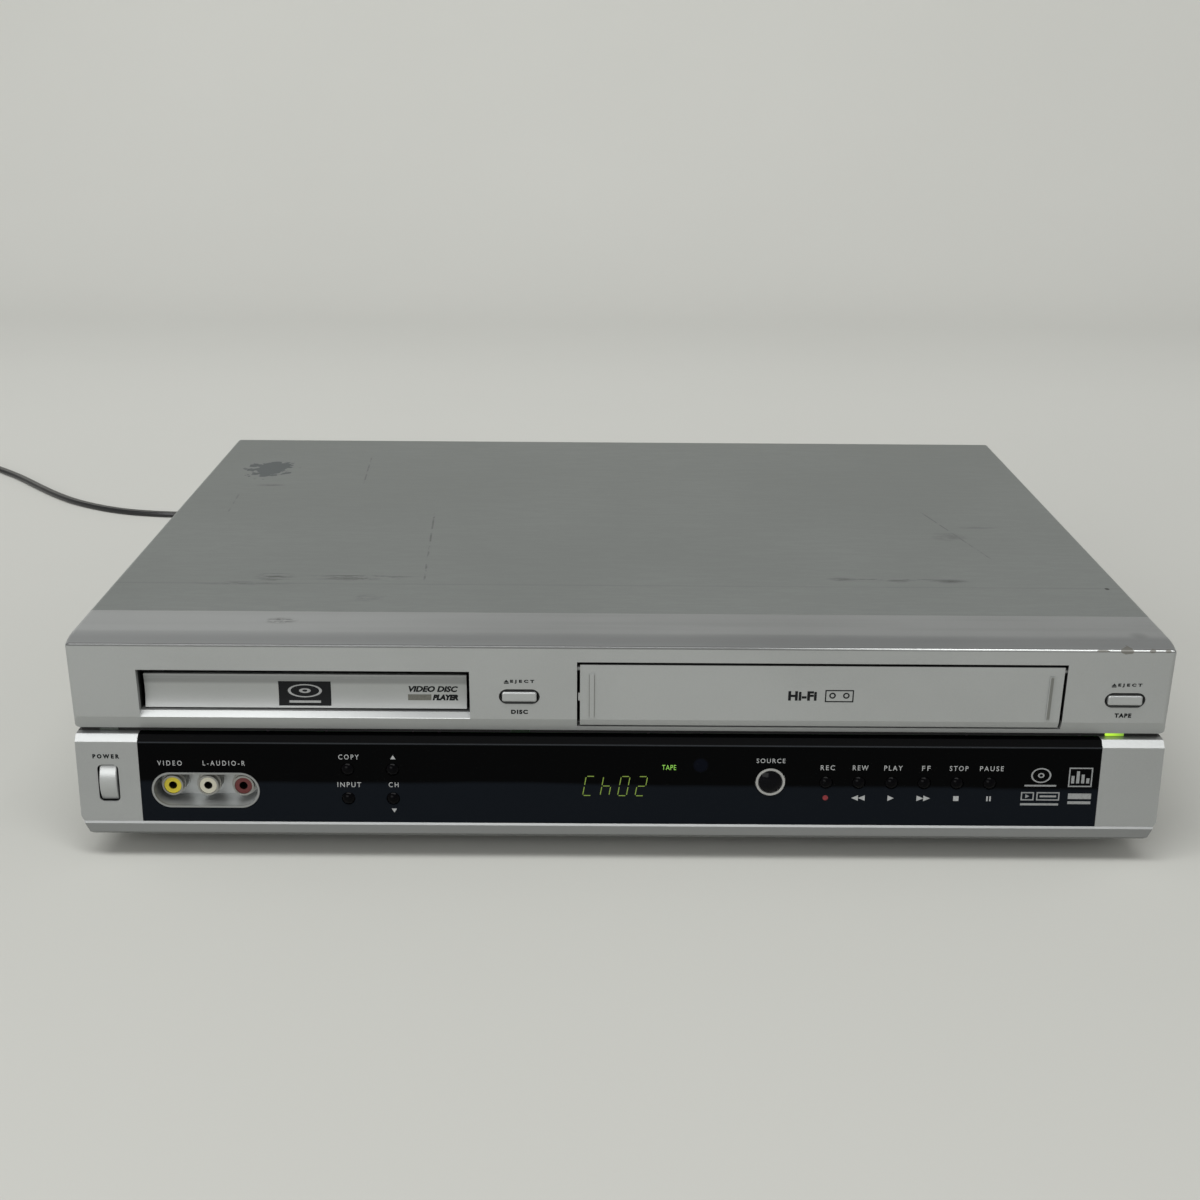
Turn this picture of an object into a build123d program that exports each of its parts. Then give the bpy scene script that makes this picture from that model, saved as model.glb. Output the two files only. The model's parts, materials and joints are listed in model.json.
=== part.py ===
from build123d import *
from math import atan2, cos, degrees, dist, pi, radians, sin, tan
import os

# A combined disc player and video cassette recorder, full component width.
# Sizes are in millimetres. X runs to the right, Y to the back and Z up, and the
# origin is on the floor under the middle of the cabinet. A depth is measured
# backwards from the ridge that tops the front panel.

# Cabinet
cabinet_width = 430.0
cabinet_depth = 345.0
connector_reach = 9.0
foot_height = 9.0
overrun = 1.0
seat_gap = 0.15
slide_gap = 0.3

# Front panel, heights stacked from the bottom edge up
kick_height = 7.2
lower_face_height = 34.1
ledge_rise = 2.5
groove_height = 2.5
chamfer_height = 5.5
upper_face_height = 31.2
crown_drop = 2.0
crown_flat_depth = 10.5
ridge_radius = 0.8
lower_corner_radius = 1.9
panel_wall = 2.5
crease_depth = 3.1
chamfer_depth = 5.6
groove_depth = 9.0
lower_depth = 2.6
ledge_run = 2.5
kick_depth = 1.9
kick_face_height = 4.3
sill_depth = 6.0
seam_depth = 35.6
crown_edge_radius = 2.0
corner_cut_width = 4.0
corner_cut_height = 8.0
kick_rise = 1.3
kick_slope_width = 5.0
side_groove = 1.4
side_block_width = 24.5
tongue_reach = 6.0
tongue_thickness = 1.3
tongue_inset = 12.0
board_boss_radius = 3.0
board_boss_inset = 9.0
board_boss_rise = 4.0

# Disc tray opening and tray front
tray_margin_share = 0.2411
tray_slot_width = 129.4
tray_slot_height = 20.4
tray_tunnel_wall = 1.6
tray_tunnel_depth = 10.0
tray_sill_rise = 2.1
tray_sill_run = 2.1
tray_front_rise = 2.9
tray_front_height = 14.0
tray_front_depth = 6.5
tray_front_thickness = 3.0
tray_front_lip = 1.7
tray_front_scoop = 0.9
tray_side_gap = 1.5

# Cassette opening and door
slot_spacing_share = 0.3813
tape_rim = 2.0
tape_slot_width = 190.7
tape_slot_height = 28.3
door_side_gap = 1.2
door_top_gap = 1.0
door_bottom_gap = 0.8
door_wall = 2.2
door_pin_radius = 1.5
door_pin_drop = 2.0
door_pin_setback = 2.4
door_pin_length = 4.2
door_ear_width = 5.0
door_ear_depth = 7.0
door_ear_height = 7.0
door_grip_width = 1.9
door_grip_height = 19.0
door_grip_rise = 0.5
door_grip_inset = 4.6
door_tab_length = 0.7
door_tab_height = 3.2

# Push buttons
button_radius = 2.45
button_dome = 1.2
button_flange = 0.9
button_flange_thickness = 1.0
button_stem = 2.4
button_gap = 0.25
button_travel = 1.0
copy_inset = 82.5
channel_inset = 100.3
button_high_rise = 22.95
button_low_rise = 10.45
source_inset = 130.8
source_rise = 18.8
source_radius = 4.9
source_ring_width = 0.9
source_ring_proud = 0.5
source_dome = 1.6
transport_inset = 108.6
transport_pitch = 13.02
transport_rise = 18.5
eject_rise = 9.8
disc_eject_share = 0.463
tape_eject_share = 0.569
eject_width_share = 0.385
eject_height_share = 0.294
eject_gap = 0.7
eject_proud = 0.7
eject_corner = 0.9
eject_bevel = 1.2
eject_bevel_depth = 0.9
eject_travel = 1.4
power_inset = 12.1
power_rise = 16.4
power_width = 6.9
power_height = 14.4
power_corner = 2.0
power_margin = 0.7
power_end_setback = 1.1
power_swell = 2.4
power_edge = 0.5
power_travel = 1.8

# Front jacks
jack_inset = 25.85
jack_rise = 13.6
jack_pitch = 14.1
jack_recess_width = 43.1
jack_recess_height = 15.4
jack_plate_wall = 0.8
jack_plate_flange = 1.6
jack_plate_depth = 13.5
jack_plate_floor = 1.5
jack_radius = 4.2
jack_wall = 0.7
jack_bore_radius = 1.65
jack_bore_length = 7.5
jack_setback = 4.4
jack_base_radius = 5.4
jack_collar_radius = 4.9
jack_collar_setback = 2.2
jack_insert_setback = 0.3

# Window, lamps, display and front board
window_wall = 2.4
lamp_width = 7.6
lamp_inset = 12.35
tape_lamp_inset = 18.45
lamp_proud = 0.4
lamp_length = 5.0
board_depth = 24.0
board_thickness = 1.6
board_side_margin = 3.5
board_bottom_margin = 1.5
board_top_margin = 1.3
board_ear_width = 15.0
board_ear_rise = 6.0
switch_size = 6.0
switch_depth = 6.0
display_place_share = 0.675
display_width_share = 0.52
display_height = 20.0
display_rise = 8.0
display_thickness = 8.0
display_base_share = 0.77
display_base_height = 12.0
display_window_gap = 3.0

# Sheet metal of the cabinet
cover_thickness = 0.8
cover_bend = 2.0
cover_gap = 0.3
cover_bottom_rise = 2.0
base_thickness = 1.0
base_flange_height = 16.0
rear_thickness = 1.0
rear_recess = 1.0
rear_corner_cut = 2.0
screw_head_radius = 4.0
screw_head_height = 1.8
screw_radius = 1.6
screw_length = 6.0
screw_rise = 9.0
screw_front_depth = 62.0
screw_rear_setback = 36.0
screw_hole_gap = 0.2
vent_width = 3.0
vent_length = 34.0
vent_pitch = 8.0
vent_count = 9
vent_depth_share = 0.62
vent_side_share = 0.28

# Feet
foot_radius = 11.0
foot_tip_radius = 9.5
foot_side_inset = 48.0
foot_front_depth = 52.0
foot_rear_setback = 48.0
foot_socket_radius = 4.0
foot_socket_depth = 4.5

# Circuit boards
standoff_height = 10.0
standoff_size = 6.0
standoff_inset = 6.0
main_board_length = 62.0
main_board_side_margin = 9.0
main_board_rear_gap = 8.0
power_board_width = 118.0
power_board_length = 62.0
power_board_gap = 8.0
transformer_width = 34.0
transformer_length = 30.0
transformer_height = 27.0
transformer_place_share = 0.36
capacitor_radius = 9.0
capacitor_height = 31.0
capacitor_place_share = 0.7
heat_sink_thickness = 2.5
heat_sink_height = 26.0
heat_sink_place_share = 0.9
chip_size = 24.0
chip_height = 3.0
chip_place_shares = (0.12, 0.30, 0.55)

# Rear connectors
rear_jack_columns = 3
rear_jack_rows = 2
rear_jack_pitch = 14.0
rear_jack_row_pitch = 16.0
rear_jack_x = 12.0
rear_jack_z = 46.0
rear_jack_length = 8.0
rear_jack_hole_gap = 0.3
rear_block_margin = 9.0
rear_block_thickness = 12.0
antenna_inset = 65.0
antenna_low_z = 44.0
antenna_pitch = 22.0
antenna_radius = 4.7
antenna_bore_radius = 1.0
tuner_width = 42.0
tuner_height = 54.0
tuner_length = 44.0

# Mains cord
cord_x = -150.0
cord_z = 36.0
cord_width = 5.4
cord_thickness = 3.4
cord_edge_cut = 1.1
cord_floor_gap = 0.3
relief_flange_radius = 8.0
relief_flange_thickness = 2.5
relief_neck_radius = 5.8
relief_length = 34.0
relief_root_radius = 5.6
relief_tip_radius = 4.0
relief_straight = 12.0
cord_run_share = 0.45
coil_turn_pitch = 7.4
coil_layer_pitch = 3.9
coil_inner_radius = 24.0
coil_half_turns = 4
coil_tail = 34.0
tie_thickness = 1.0
tie_width = 9.0
tie_gap = 0.5
plug_width = 24.0
plug_length = 26.0
plug_thickness = 11.4
plug_taper_share = 0.55
plug_edge = 2.0
plug_seat_gap = 0.02
blade_pitch = 12.7
blade_width = 6.3
blade_thickness = 1.5
blade_length = 16.0

# Tape deck
deck_thickness = 1.5
deck_edge_margin = 0.55
deck_front_setback = 6.4
deck_rear_reach = 34.0
deck_leg_size = 8.0
deck_leg_setback = 20.0
deck_leg_inset = 6.0
holder_gap = 0.7
holder_length = 70.0
holder_rear_depth = 184.0
holder_floor_rise = 1.7
holder_floor = 1.0
holder_wall = 1.2
holder_height = 26.6
holder_tab_width = 9.0
holder_stop_height = 6.0
holder_stop_width = 18.0
holder_clear_radius = 22.0
holder_front_gap = 0.4
holder_drop = 22.0
guide_pin_radius = 2.0
guide_pin_gap = 0.3
front_pin_setback = 14.0
front_pin_rise = 5.0
rear_pin_inset = 10.0
rear_pin_rise = 23.0
carriage_gap = 0.8
carriage_wall = 1.5
carriage_length = 60.0
carriage_bar_width = 16.0
carriage_flange = 1.2
bracket_wall = 1.5
bracket_foot = 5.0
bracket_front_setback = 8.4
bracket_rear_margin = 8.0
bracket_top_rise = 28.0
deck_drop = 29.0

# Head drum, reels, capstan and pinch roller
drum_setback = 46.0
drum_radius = 31.0
drum_tilt = 5.9
drum_lower_height = 20.0
drum_upper_height = 17.0
drum_gap = 0.35
drum_cap_radius = 13.0
drum_cap_height = 4.0
drum_shaft_radius = 3.0
drum_shaft_length = 14.0
drum_foot_width = 78.0
drum_foot_length = 58.0
drum_foot_thickness = 4.0
bearing_gap = 0.05
reel_spacing = 92.0
reel_inset = 50.0
reel_radius = 19.0
reel_flange_thickness = 3.0
reel_lift = 0.5
reel_hub_radius = 8.0
reel_hub_height = 14.0
reel_fin_count = 3
reel_fin_reach = 2.2
reel_fin_width = 1.8
reel_post_radius = 2.5
capstan_offset = 62.0
capstan_setback = 8.0
capstan_radius = 2.0
capstan_reach = 26.0
flywheel_radius = 24.0
flywheel_height = 7.0
flywheel_lift = 5.0
flywheel_groove = 1.5
flywheel_groove_height = 2.0
capstan_boss_radius = 5.0
capstan_boss_rise = 6.0
pinch_post_offset = 82.0
pinch_post_setback = 14.0
pinch_post_radius = 2.5
pinch_boss_radius = 4.5
pinch_arm_width = 6.0
pinch_arm_thickness = 2.0
pinch_arm_lift = 4.0
pinch_pin_radius = 1.5
pinch_roller_radius = 7.0
pinch_roller_height = 14.0
pinch_nip_gap = 0.4
pinch_swing = 25.0
tape_post_radius = 2.6
tape_post_height = 24.0
tape_post_flange = 1.6
tape_post_flange_height = 2.0
tape_post_setback = 10.0
tape_post_place_shares = (-0.66, -0.42, 0.36)

# Disc loader
tray_floor_rise = 2.3
tray_floor = 1.5
tray_well_depth = 3.0
disc_well_radius = 60.5
small_well_radius = 40.5
small_well_depth = 0.6
tray_rear_depth = 192.0
tray_side_clear = 0.2
tray_travel = 142.0
spindle_depth = 84.0
pickup_slot_width = 38.0
hub_hole_radius = 19.0
loader_front_depth = 27.0
loader_rear_depth = 197.0
loader_wall = 3.0
loader_drop = 14.0
loader_floor = 2.0
loader_rib_width = 2.4
loader_rib_height = 2.0
loader_top_rise = 13.5
loader_leg_size = 9.0
loader_leg_inset = 20.0
bridge_half_length = 22.0
bridge_thickness = 2.0
bridge_hole_radius = 15.0
bay_half_width = 47.0
bay_front_depth = 58.0
bay_rear_depth = 188.0
gear_module = 1.0
gear_teeth = 22
gear_depth = 42.0
gear_thickness = 2.6
gear_drop = 0.6
gear_hub_radius = 4.0
gear_post_radius = 2.0
gear_backlash = 0.35
gear_tip_clear = 0.25
pressure_angle = 20.0
rack_setback = 6.0
rack_height = 2.2
rack_back = 2.4
clamp_radius = 14.0
clamp_flange_radius = 17.5
clamp_flange_thickness = 1.5
clamp_length = 7.0
clamp_lift = 0.2
clamp_recess_radius = 8.0
clamp_recess_depth = 2.0
traverse_half_width = 42.0
traverse_front_depth = 62.0
traverse_rear_depth = 176.0
traverse_thickness = 2.0
traverse_drop = 12.0
traverse_tilt = 4.2
traverse_pin_radius = 1.8
traverse_pin_depth = 172.0
traverse_pin_reach = 6.0
traverse_ear_wall = 3.0
traverse_window_width = 52.0
traverse_window_length = 62.0
traverse_window_depth = 100.0
spindle_motor_radius = 12.5
spindle_motor_height = 6.0
spindle_shaft_radius = 1.0
turntable_radius = 14.5
turntable_thickness = 2.0
turntable_lift = 1.0
turntable_hub_radius = 7.3
turntable_hub_tip_radius = 6.0
turntable_hub_height = 2.6
rod_radius = 1.5
rod_spacing = 46.0
rod_rise = 3.5
rod_block_width = 5.0
rod_block_length = 6.0
pickup_width = 40.0
pickup_length = 24.0
pickup_start_depth = 106.0
pickup_height = 5.0
pickup_travel = 34.0
pickup_ear_width = 7.0
pickup_lens_radius = 3.4
pickup_lens_height = 1.2

# Heights that follow from the stack above
half_width = cabinet_width / 2
front_y = -(cabinet_depth + connector_reach) / 2
kick_top_z = foot_height + kick_height
lower_top_z = kick_top_z + lower_face_height
groove_bottom_z = lower_top_z + ledge_rise
ledge_depth = lower_depth + ledge_run
groove_top_z = groove_bottom_z + groove_height
crease_z = groove_top_z + chamfer_height
ridge_z = crease_z + upper_face_height
top_z = ridge_z + crown_drop
base_top_z = foot_height + base_thickness
board_z = base_top_z + standoff_height
antenna_x = half_width - antenna_inset

# Places along the front
window_half = half_width - side_block_width
free_width = cabinet_width - tray_slot_width - tape_slot_width
slot_spacing = slot_spacing_share * free_width
tray_left_x = tray_margin_share * free_width - half_width
tray_right_x = tray_left_x + tray_slot_width
tape_left_x = tray_right_x + slot_spacing
tape_right_x = tape_left_x + tape_slot_width
tray_x = (tray_left_x + tray_right_x) / 2
tape_x = (tape_left_x + tape_right_x) / 2
disc_eject_x = tray_right_x + disc_eject_share * slot_spacing
tape_eject_x = tape_right_x + tape_eject_share * (half_width - tape_right_x)
eject_width = eject_width_share * (slot_spacing - tray_tunnel_wall - door_ear_width)
eject_height = eject_height_share * eject_width
eject_z = crease_z + eject_rise
power_x = power_inset - half_width
power_z = kick_top_z + power_rise
jack_x = jack_inset - window_half
jack_z = kick_top_z + jack_rise
high_z = kick_top_z + button_high_rise
low_z = kick_top_z + button_low_rise
source_x = window_half - source_inset
source_z = kick_top_z + source_rise
transport_x = window_half - transport_inset
transport_z = kick_top_z + transport_rise
lamp_places = (lamp_inset - half_width, disc_eject_x, half_width - tape_lamp_inset)
board_front_depth = board_depth - switch_depth
copy_x = copy_inset - window_half
channel_x = channel_inset - window_half
display_room = source_x - channel_x
display_x = channel_x + display_place_share * display_room
display_width = display_width_share * display_room

# Disc loader heights
tray_slot_top_z = crease_z + tray_slot_height
tray_front_z = crease_z + tray_front_rise
tray_bottom_z = tray_front_z + tray_floor_rise
well_floor_z = tray_bottom_z + tray_floor
tray_top_z = well_floor_z + tray_well_depth
tray_half_width = tray_slot_width / 2 - tray_side_gap - tray_side_clear
loader_half_width = tray_half_width + slide_gap + loader_wall
loader_bottom_z = tray_bottom_z - loader_drop
loader_floor_z = loader_bottom_z + loader_floor
loader_top_z = tray_bottom_z + loader_top_rise
bridge_top_z = loader_top_z + bridge_thickness
gear_radius = gear_module * gear_teeth / 2
rack_x = tray_x - tray_half_width + rack_setback
gear_x = rack_x + gear_radius
gear_top_z = tray_bottom_z - gear_drop
traverse_z = tray_bottom_z - traverse_drop
traverse_top_z = traverse_z + traverse_thickness

# Tape deck heights
tape_slot_z = groove_top_z + tape_rim
holder_z = tape_slot_z + holder_floor_rise
deck_top_z = holder_z - deck_drop + deck_thickness
deck_z = deck_top_z - deck_thickness
holder_half = tape_slot_width / 2 - holder_gap
holder_outer = holder_half + holder_wall
carriage_half = holder_outer + carriage_gap
bracket_half = carriage_half + carriage_wall + carriage_gap
deck_half_width = bracket_half + bracket_wall + bracket_foot + deck_edge_margin
holder_front_depth = holder_rear_depth - holder_length
holder_travel = holder_front_depth - seam_depth - holder_front_gap
bracket_front_depth = seam_depth + bracket_front_setback
reel_depth = holder_rear_depth - reel_inset
capstan_depth = holder_rear_depth + capstan_setback
tape_post_depth = holder_rear_depth + tape_post_setback
pinch_post_depth = capstan_depth + pinch_post_setback
drum_depth = holder_rear_depth + drum_setback
deck_front_depth = seam_depth + deck_front_setback
deck_rear_depth = drum_depth + deck_rear_reach
front_pin = (holder_front_depth + front_pin_setback, holder_z + front_pin_rise)
rear_pin = (holder_rear_depth - rear_pin_inset, holder_z + rear_pin_rise)
bracket_top_z = holder_z + bracket_top_rise
drum_base_z = deck_top_z


def y_at(depth):
    """The Y place of a point this far behind the front ridge."""
    return front_y + depth


def span(middle, width):
    return (middle - width / 2, middle + width / 2)


def block(across, deep, high):
    """A box from its ranges in X, in depth and in Z."""
    corner = Pos(across[0], y_at(deep[0]), high[0])
    size = (across[1] - across[0], deep[1] - deep[0], high[1] - high[0])
    return corner * Box(*size, align=Align.MIN)


def post(x, depth, high, radius):
    align = (Align.CENTER, Align.CENTER, Align.MIN)
    return Pos(x, y_at(depth), high[0]) * Cylinder(radius, high[1] - high[0], align=align)


def rod_back(x, z, deep, radius):
    """A round rod that runs from front to back."""
    align = (Align.CENTER, Align.CENTER, Align.MIN)
    rod = Cylinder(radius, deep[1] - deep[0], align=align)
    return Pos(x, y_at(deep[0]), z) * Rot(-90, 0, 0) * rod


def rod_across(across, depth, z, radius):
    """A round rod that runs from left to right."""
    align = (Align.CENTER, Align.CENTER, Align.MIN)
    rod = Cylinder(radius, across[1] - across[0], align=align)
    return Pos(across[0], y_at(depth), z) * Rot(0, 90, 0) * rod


def profile_across(sketch, across):
    """A profile drawn in depth and height, drawn out from left to right."""
    plane = Plane(origin=(across[0], front_y, 0), x_dir=(0, 1, 0), z_dir=(1, 0, 0))
    return extrude(plane * sketch, amount=across[1] - across[0], dir=(1, 0, 0))


def outline_back(sketch, x, z, deep):
    """An outline drawn as seen from the front, drawn out from front to back."""
    plane = Plane(origin=(x, y_at(deep[1]), z), x_dir=(1, 0, 0), z_dir=(0, -1, 0))
    return extrude(plane * sketch, amount=deep[1] - deep[0], dir=(0, -1, 0))


def turned(lines, x, z):
    """A profile of radius and depth, turned about an axis that runs back from the ridge."""
    face = Plane.XZ * make_face(lines)
    return Pos(x, front_y, z) * Rot(-90, 0, 0) * revolve(face, Axis.Z)


def upper_face_depth(z):
    return crease_depth * (ridge_z - z) / upper_face_height


def panel_profile():
    """The front panel's outside, seen from its end: crown, sloped face, groove and kick strip."""
    crown = Line((seam_depth, top_z), (crown_flat_depth, top_z))
    brow = TangentArc((crown_flat_depth, top_z), (0, ridge_z), tangent=(-1, 0))
    faces = Polyline(
        (0, ridge_z),
        (crease_depth, crease_z),
        (chamfer_depth, groove_top_z),
        (groove_depth, groove_top_z),
        (groove_depth, groove_bottom_z),
        (ledge_depth, groove_bottom_z),
        (lower_depth, lower_top_z),
        (lower_depth, kick_top_z),
        (kick_depth, kick_top_z - lower_depth + kick_depth),
        (kick_depth, kick_top_z - kick_face_height),
        (sill_depth, foot_height),
        (seam_depth, foot_height),
        (seam_depth, top_z),
    )
    face = make_face(crown.edges() + brow.edges() + faces.edges())
    ridge = face.vertices().sort_by_distance((0, ridge_z, 0))[0]
    return fillet(ridge, ridge_radius)


def panel_outline():
    """The front panel's outline from the front, with its cut bottom corners."""
    cut_x = half_width - corner_cut_width
    step_x = window_half + kick_slope_width
    points = (
        (half_width, foot_height + kick_rise + corner_cut_height),
        (cut_x, foot_height + kick_rise),
        (step_x, foot_height + kick_rise),
        (window_half, foot_height),
    )
    left = [(-x, z) for x, z in reversed(points)]
    top = [(-half_width, top_z), (half_width, top_z)]
    return Polygon(*points, *left, *top, align=None)


def panel_shell():
    profile = panel_profile()
    outline = panel_outline()
    inside = half_width - panel_wall
    deep = (-overrun, seam_depth + overrun)
    outer = profile_across(profile, (-half_width, half_width))
    outer &= outline_back(outline, 0, 0, deep)
    crown_ends = outer.edges().filter_by(GeomType.CIRCLE)
    outer = fillet(crown_ends, min(crown_edge_radius, panel_wall - slide_gap))
    hollow = profile_across(offset(profile, -panel_wall, kind=Kind.INTERSECTION), (-inside, inside))
    back = (seam_depth - 2 * panel_wall, seam_depth + overrun)
    hollow += block((-inside, inside), back, (foot_height + panel_wall, top_z - panel_wall))
    hollow &= outline_back(offset(outline, -panel_wall, kind=Kind.INTERSECTION), 0, 0, deep)
    return outer, outer - hollow


def tray_slot_cut():
    """The tray's way through the panel, with its sloped sill."""
    deep_end = tray_tunnel_depth + overrun
    sill_z = crease_z + tray_sill_rise
    section = Polygon(
        (-overrun, crease_z),
        (crease_depth, crease_z),
        (crease_depth + tray_sill_run, sill_z),
        (deep_end, sill_z),
        (deep_end, tray_slot_top_z),
        (-overrun, tray_slot_top_z),
        align=None,
    )
    return profile_across(section, span(tray_x, tray_slot_width))


def eject_slot_cut(x):
    """A button slot with a wider bevelled pocket on the face."""
    hole = SlotOverall(eject_width + 2 * eject_gap, eject_height + 2 * eject_gap)
    rim = SlotOverall(eject_width + 2 * eject_bevel, eject_height + 2 * eject_bevel)
    face = upper_face_depth(eject_z)
    through = outline_back(hole, x, eject_z, (-overrun, chamfer_depth + panel_wall))
    return through + outline_back(rim, x, eject_z, (-overrun, face + eject_bevel_depth))


def lower_corner_cut(side, deep):
    """What rounds off the upper half's lower end corner."""
    radius = min(lower_corner_radius, panel_wall - seat_gap)
    middle = half_width - radius
    corner = sorted((side * middle, side * (half_width + overrun)))
    square = block(corner, deep, (groove_top_z - overrun, groove_top_z + radius))
    return square - rod_back(side * middle, groove_top_z + radius, deep, radius)


def door_pin_place():
    """Depth and height of the cassette door's hinge line."""
    z = tape_slot_z + tape_slot_height - door_top_gap - door_pin_drop
    return upper_face_depth(z) + door_pin_setback, z


def front_panel():
    outer, panel = panel_shell()
    tunnel = block(
        span(tray_x, tray_slot_width + 2 * tray_tunnel_wall),
        (0, tray_tunnel_depth),
        (crease_z - tray_tunnel_wall, tray_slot_top_z + tray_tunnel_wall),
    )
    panel += tunnel & outer
    pin_depth, pin_z = door_pin_place()
    ear_inner = tape_slot_width / 2
    ear_outer = ear_inner + door_ear_width
    for side in (-1, 1):
        ear_range = sorted((tape_x + side * ear_inner, tape_x + side * ear_outer))
        panel += block(ear_range, (0, door_ear_depth), span(pin_z, door_ear_height)) & outer
        boss_x = side * (half_width - board_boss_inset)
        boss_z = kick_top_z + board_boss_rise
        panel += rod_back(boss_x, boss_z, (lower_depth, board_depth), board_boss_radius)
    tongue_half = half_width - tongue_inset
    tongue_top_z = top_z - cover_thickness - cover_gap
    panel += block(
        (-tongue_half, tongue_half),
        (seam_depth - panel_wall, seam_depth + tongue_reach),
        (tongue_top_z - tongue_thickness, tongue_top_z),
    )
    panel -= tray_slot_cut()
    through = (-overrun, chamfer_depth + panel_wall + overrun)
    slot_high = (tape_slot_z, tape_slot_z + tape_slot_height)
    panel -= block(span(tape_x, tape_slot_width), through, slot_high)
    pin_half = ear_inner + door_pin_length
    panel -= rod_across(span(tape_x, 2 * pin_half), pin_depth, pin_z, door_pin_radius + seat_gap)
    panel -= eject_slot_cut(disc_eject_x) + eject_slot_cut(tape_eject_x)
    behind = groove_depth + panel_wall + overrun
    panel -= block((-window_half, window_half), (-overrun, behind), (kick_top_z, groove_bottom_z))
    for x in lamp_places:
        panel -= block(span(x, lamp_width), (-overrun, behind), (groove_bottom_z, groove_top_z))
    power_hole = RectangleRounded(
        power_width + 2 * power_margin, power_height + 2 * power_margin, power_corner
    )
    panel -= outline_back(power_hole, power_x, power_z, through)
    deep = (-overrun, seam_depth + overrun)
    for side in (-1, 1):
        groove = sorted((side * (half_width - side_groove), side * (half_width + overrun)))
        panel -= block(groove, deep, (groove_bottom_z, groove_top_z)) + lower_corner_cut(side, deep)
    return panel


def display_window():
    """The glossy window: a face plate with a sloped ledge along its top."""
    gap = seat_gap
    outer_z = groove_bottom_z - gap
    bend_z = lower_top_z - gap
    section = Polygon(
        (groove_depth - gap, outer_z),
        (ledge_depth, outer_z),
        (lower_depth, bend_z),
        (lower_depth, kick_top_z + gap),
        (lower_depth + window_wall, kick_top_z + gap),
        (lower_depth + window_wall, bend_z - window_wall / 2),
        (ledge_depth + window_wall / 2, outer_z - window_wall),
        (groove_depth - gap, outer_z - window_wall),
        align=None,
    )
    half = window_half - gap
    window = profile_across(section, (-half, half))
    through = (-overrun, lower_depth + window_wall + overrun)
    recess = SlotOverall(jack_recess_width, jack_recess_height)
    window -= outline_back(recess, jack_x, jack_z, through)
    for name, x, z in small_buttons():
        window -= rod_back(x, z, through, button_radius + button_gap)
    source_hole = source_radius + source_ring_width + button_gap
    window -= rod_back(source_x, source_z, through, source_hole)
    return window


def small_buttons():
    """Names and places of the round push buttons in the window."""
    names = ("record", "rewind", "play", "forward", "stop", "pause")
    row = [
        (name + "_button", transport_x + place * transport_pitch, transport_z)
        for place, name in enumerate(names)
    ]
    return [
        ("copy_button", copy_x, high_z),
        ("input_button", copy_x, low_z),
        ("channel_up_button", channel_x, high_z),
        ("channel_down_button", channel_x, low_z),
        *row,
    ]


def domed_cap(x, z, radius, dome):
    """A round cap with a domed face, down to the back of the window."""
    end = lower_depth + window_wall + slide_gap
    crown = TangentArc((0, lower_depth - dome), (radius, lower_depth), tangent=(1, 0))
    body = Polyline((radius, lower_depth), (radius, end), (0, end), (0, lower_depth - dome))
    return turned(crown.edges() + body.edges(), x, z)


def button_back(x, z, width, height, flange_depth, travel):
    """The flange that holds a button behind the panel, and the stem to its switch."""
    flange_end = flange_depth + button_flange_thickness
    stem_end = board_front_depth - travel - slide_gap
    across = span(x, width + 2 * button_flange)
    flange = block(across, (flange_depth, flange_end), span(z, height + 2 * button_flange))
    return flange + block(span(x, button_stem), (flange_depth, stem_end), span(z, button_stem))


def round_button(x, z):
    size = 2 * button_radius
    back = button_back(x, z, size, size, lower_depth + window_wall + slide_gap, button_travel)
    return domed_cap(x, z, button_radius, button_dome) + back


def source_button():
    """The larger domed button in its bright ring, which moves with it."""
    flange_depth = lower_depth + window_wall + slide_gap
    ring_outer = source_radius + source_ring_width
    size = 2 * ring_outer
    cap = domed_cap(source_x, source_z, source_radius - seat_gap, source_dome)
    cap += button_back(source_x, source_z, size, size, flange_depth, button_travel)
    ring_front = lower_depth - source_ring_proud
    ring = rod_back(source_x, source_z, (ring_front, flange_depth), ring_outer)
    through = (ring_front - overrun, flange_depth + overrun)
    ring -= rod_back(source_x, source_z, through, source_radius)
    return Compound(children=[cap, ring])


def eject_button(x):
    """A short bar with rounded edges in its slot."""
    face = upper_face_depth(eject_z)
    flange_depth = chamfer_depth + slide_gap
    cap = RectangleRounded(eject_width, eject_height, min(eject_corner, eject_height / 4))
    button = outline_back(cap, x, eject_z, (face - eject_proud, flange_depth + slide_gap))
    rounding = min(eject_proud, eject_height / 3)
    button = fillet(button.faces().sort_by(Axis.Y)[0].edges(), rounding)
    width, height = eject_width + 2 * eject_gap, eject_height + 2 * eject_gap
    return button + button_back(x, eject_z, width, height, flange_depth, eject_travel)


def power_button():
    """The upright power key, which swells forward between its two ends."""
    flange_depth = lower_depth + panel_wall + slide_gap
    half = power_height / 2
    tip = lower_depth + power_end_setback
    back = flange_depth + slide_gap
    swell = ThreePointArc((tip, -half), (tip - power_swell, 0), (tip, half))
    sides = Polyline((tip, half), (back, half), (back, -half), (tip, -half))
    profile = Pos(0, power_z) * make_face(swell.edges() + sides.edges())
    button = profile_across(profile, span(power_x, power_width))
    button = fillet(button.edges().filter_by(GeomType.CIRCLE), power_edge)
    width, height = power_width + 2 * power_margin, power_height + 2 * power_margin
    return button + button_back(power_x, power_z, width, height, flange_depth, power_travel)


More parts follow.
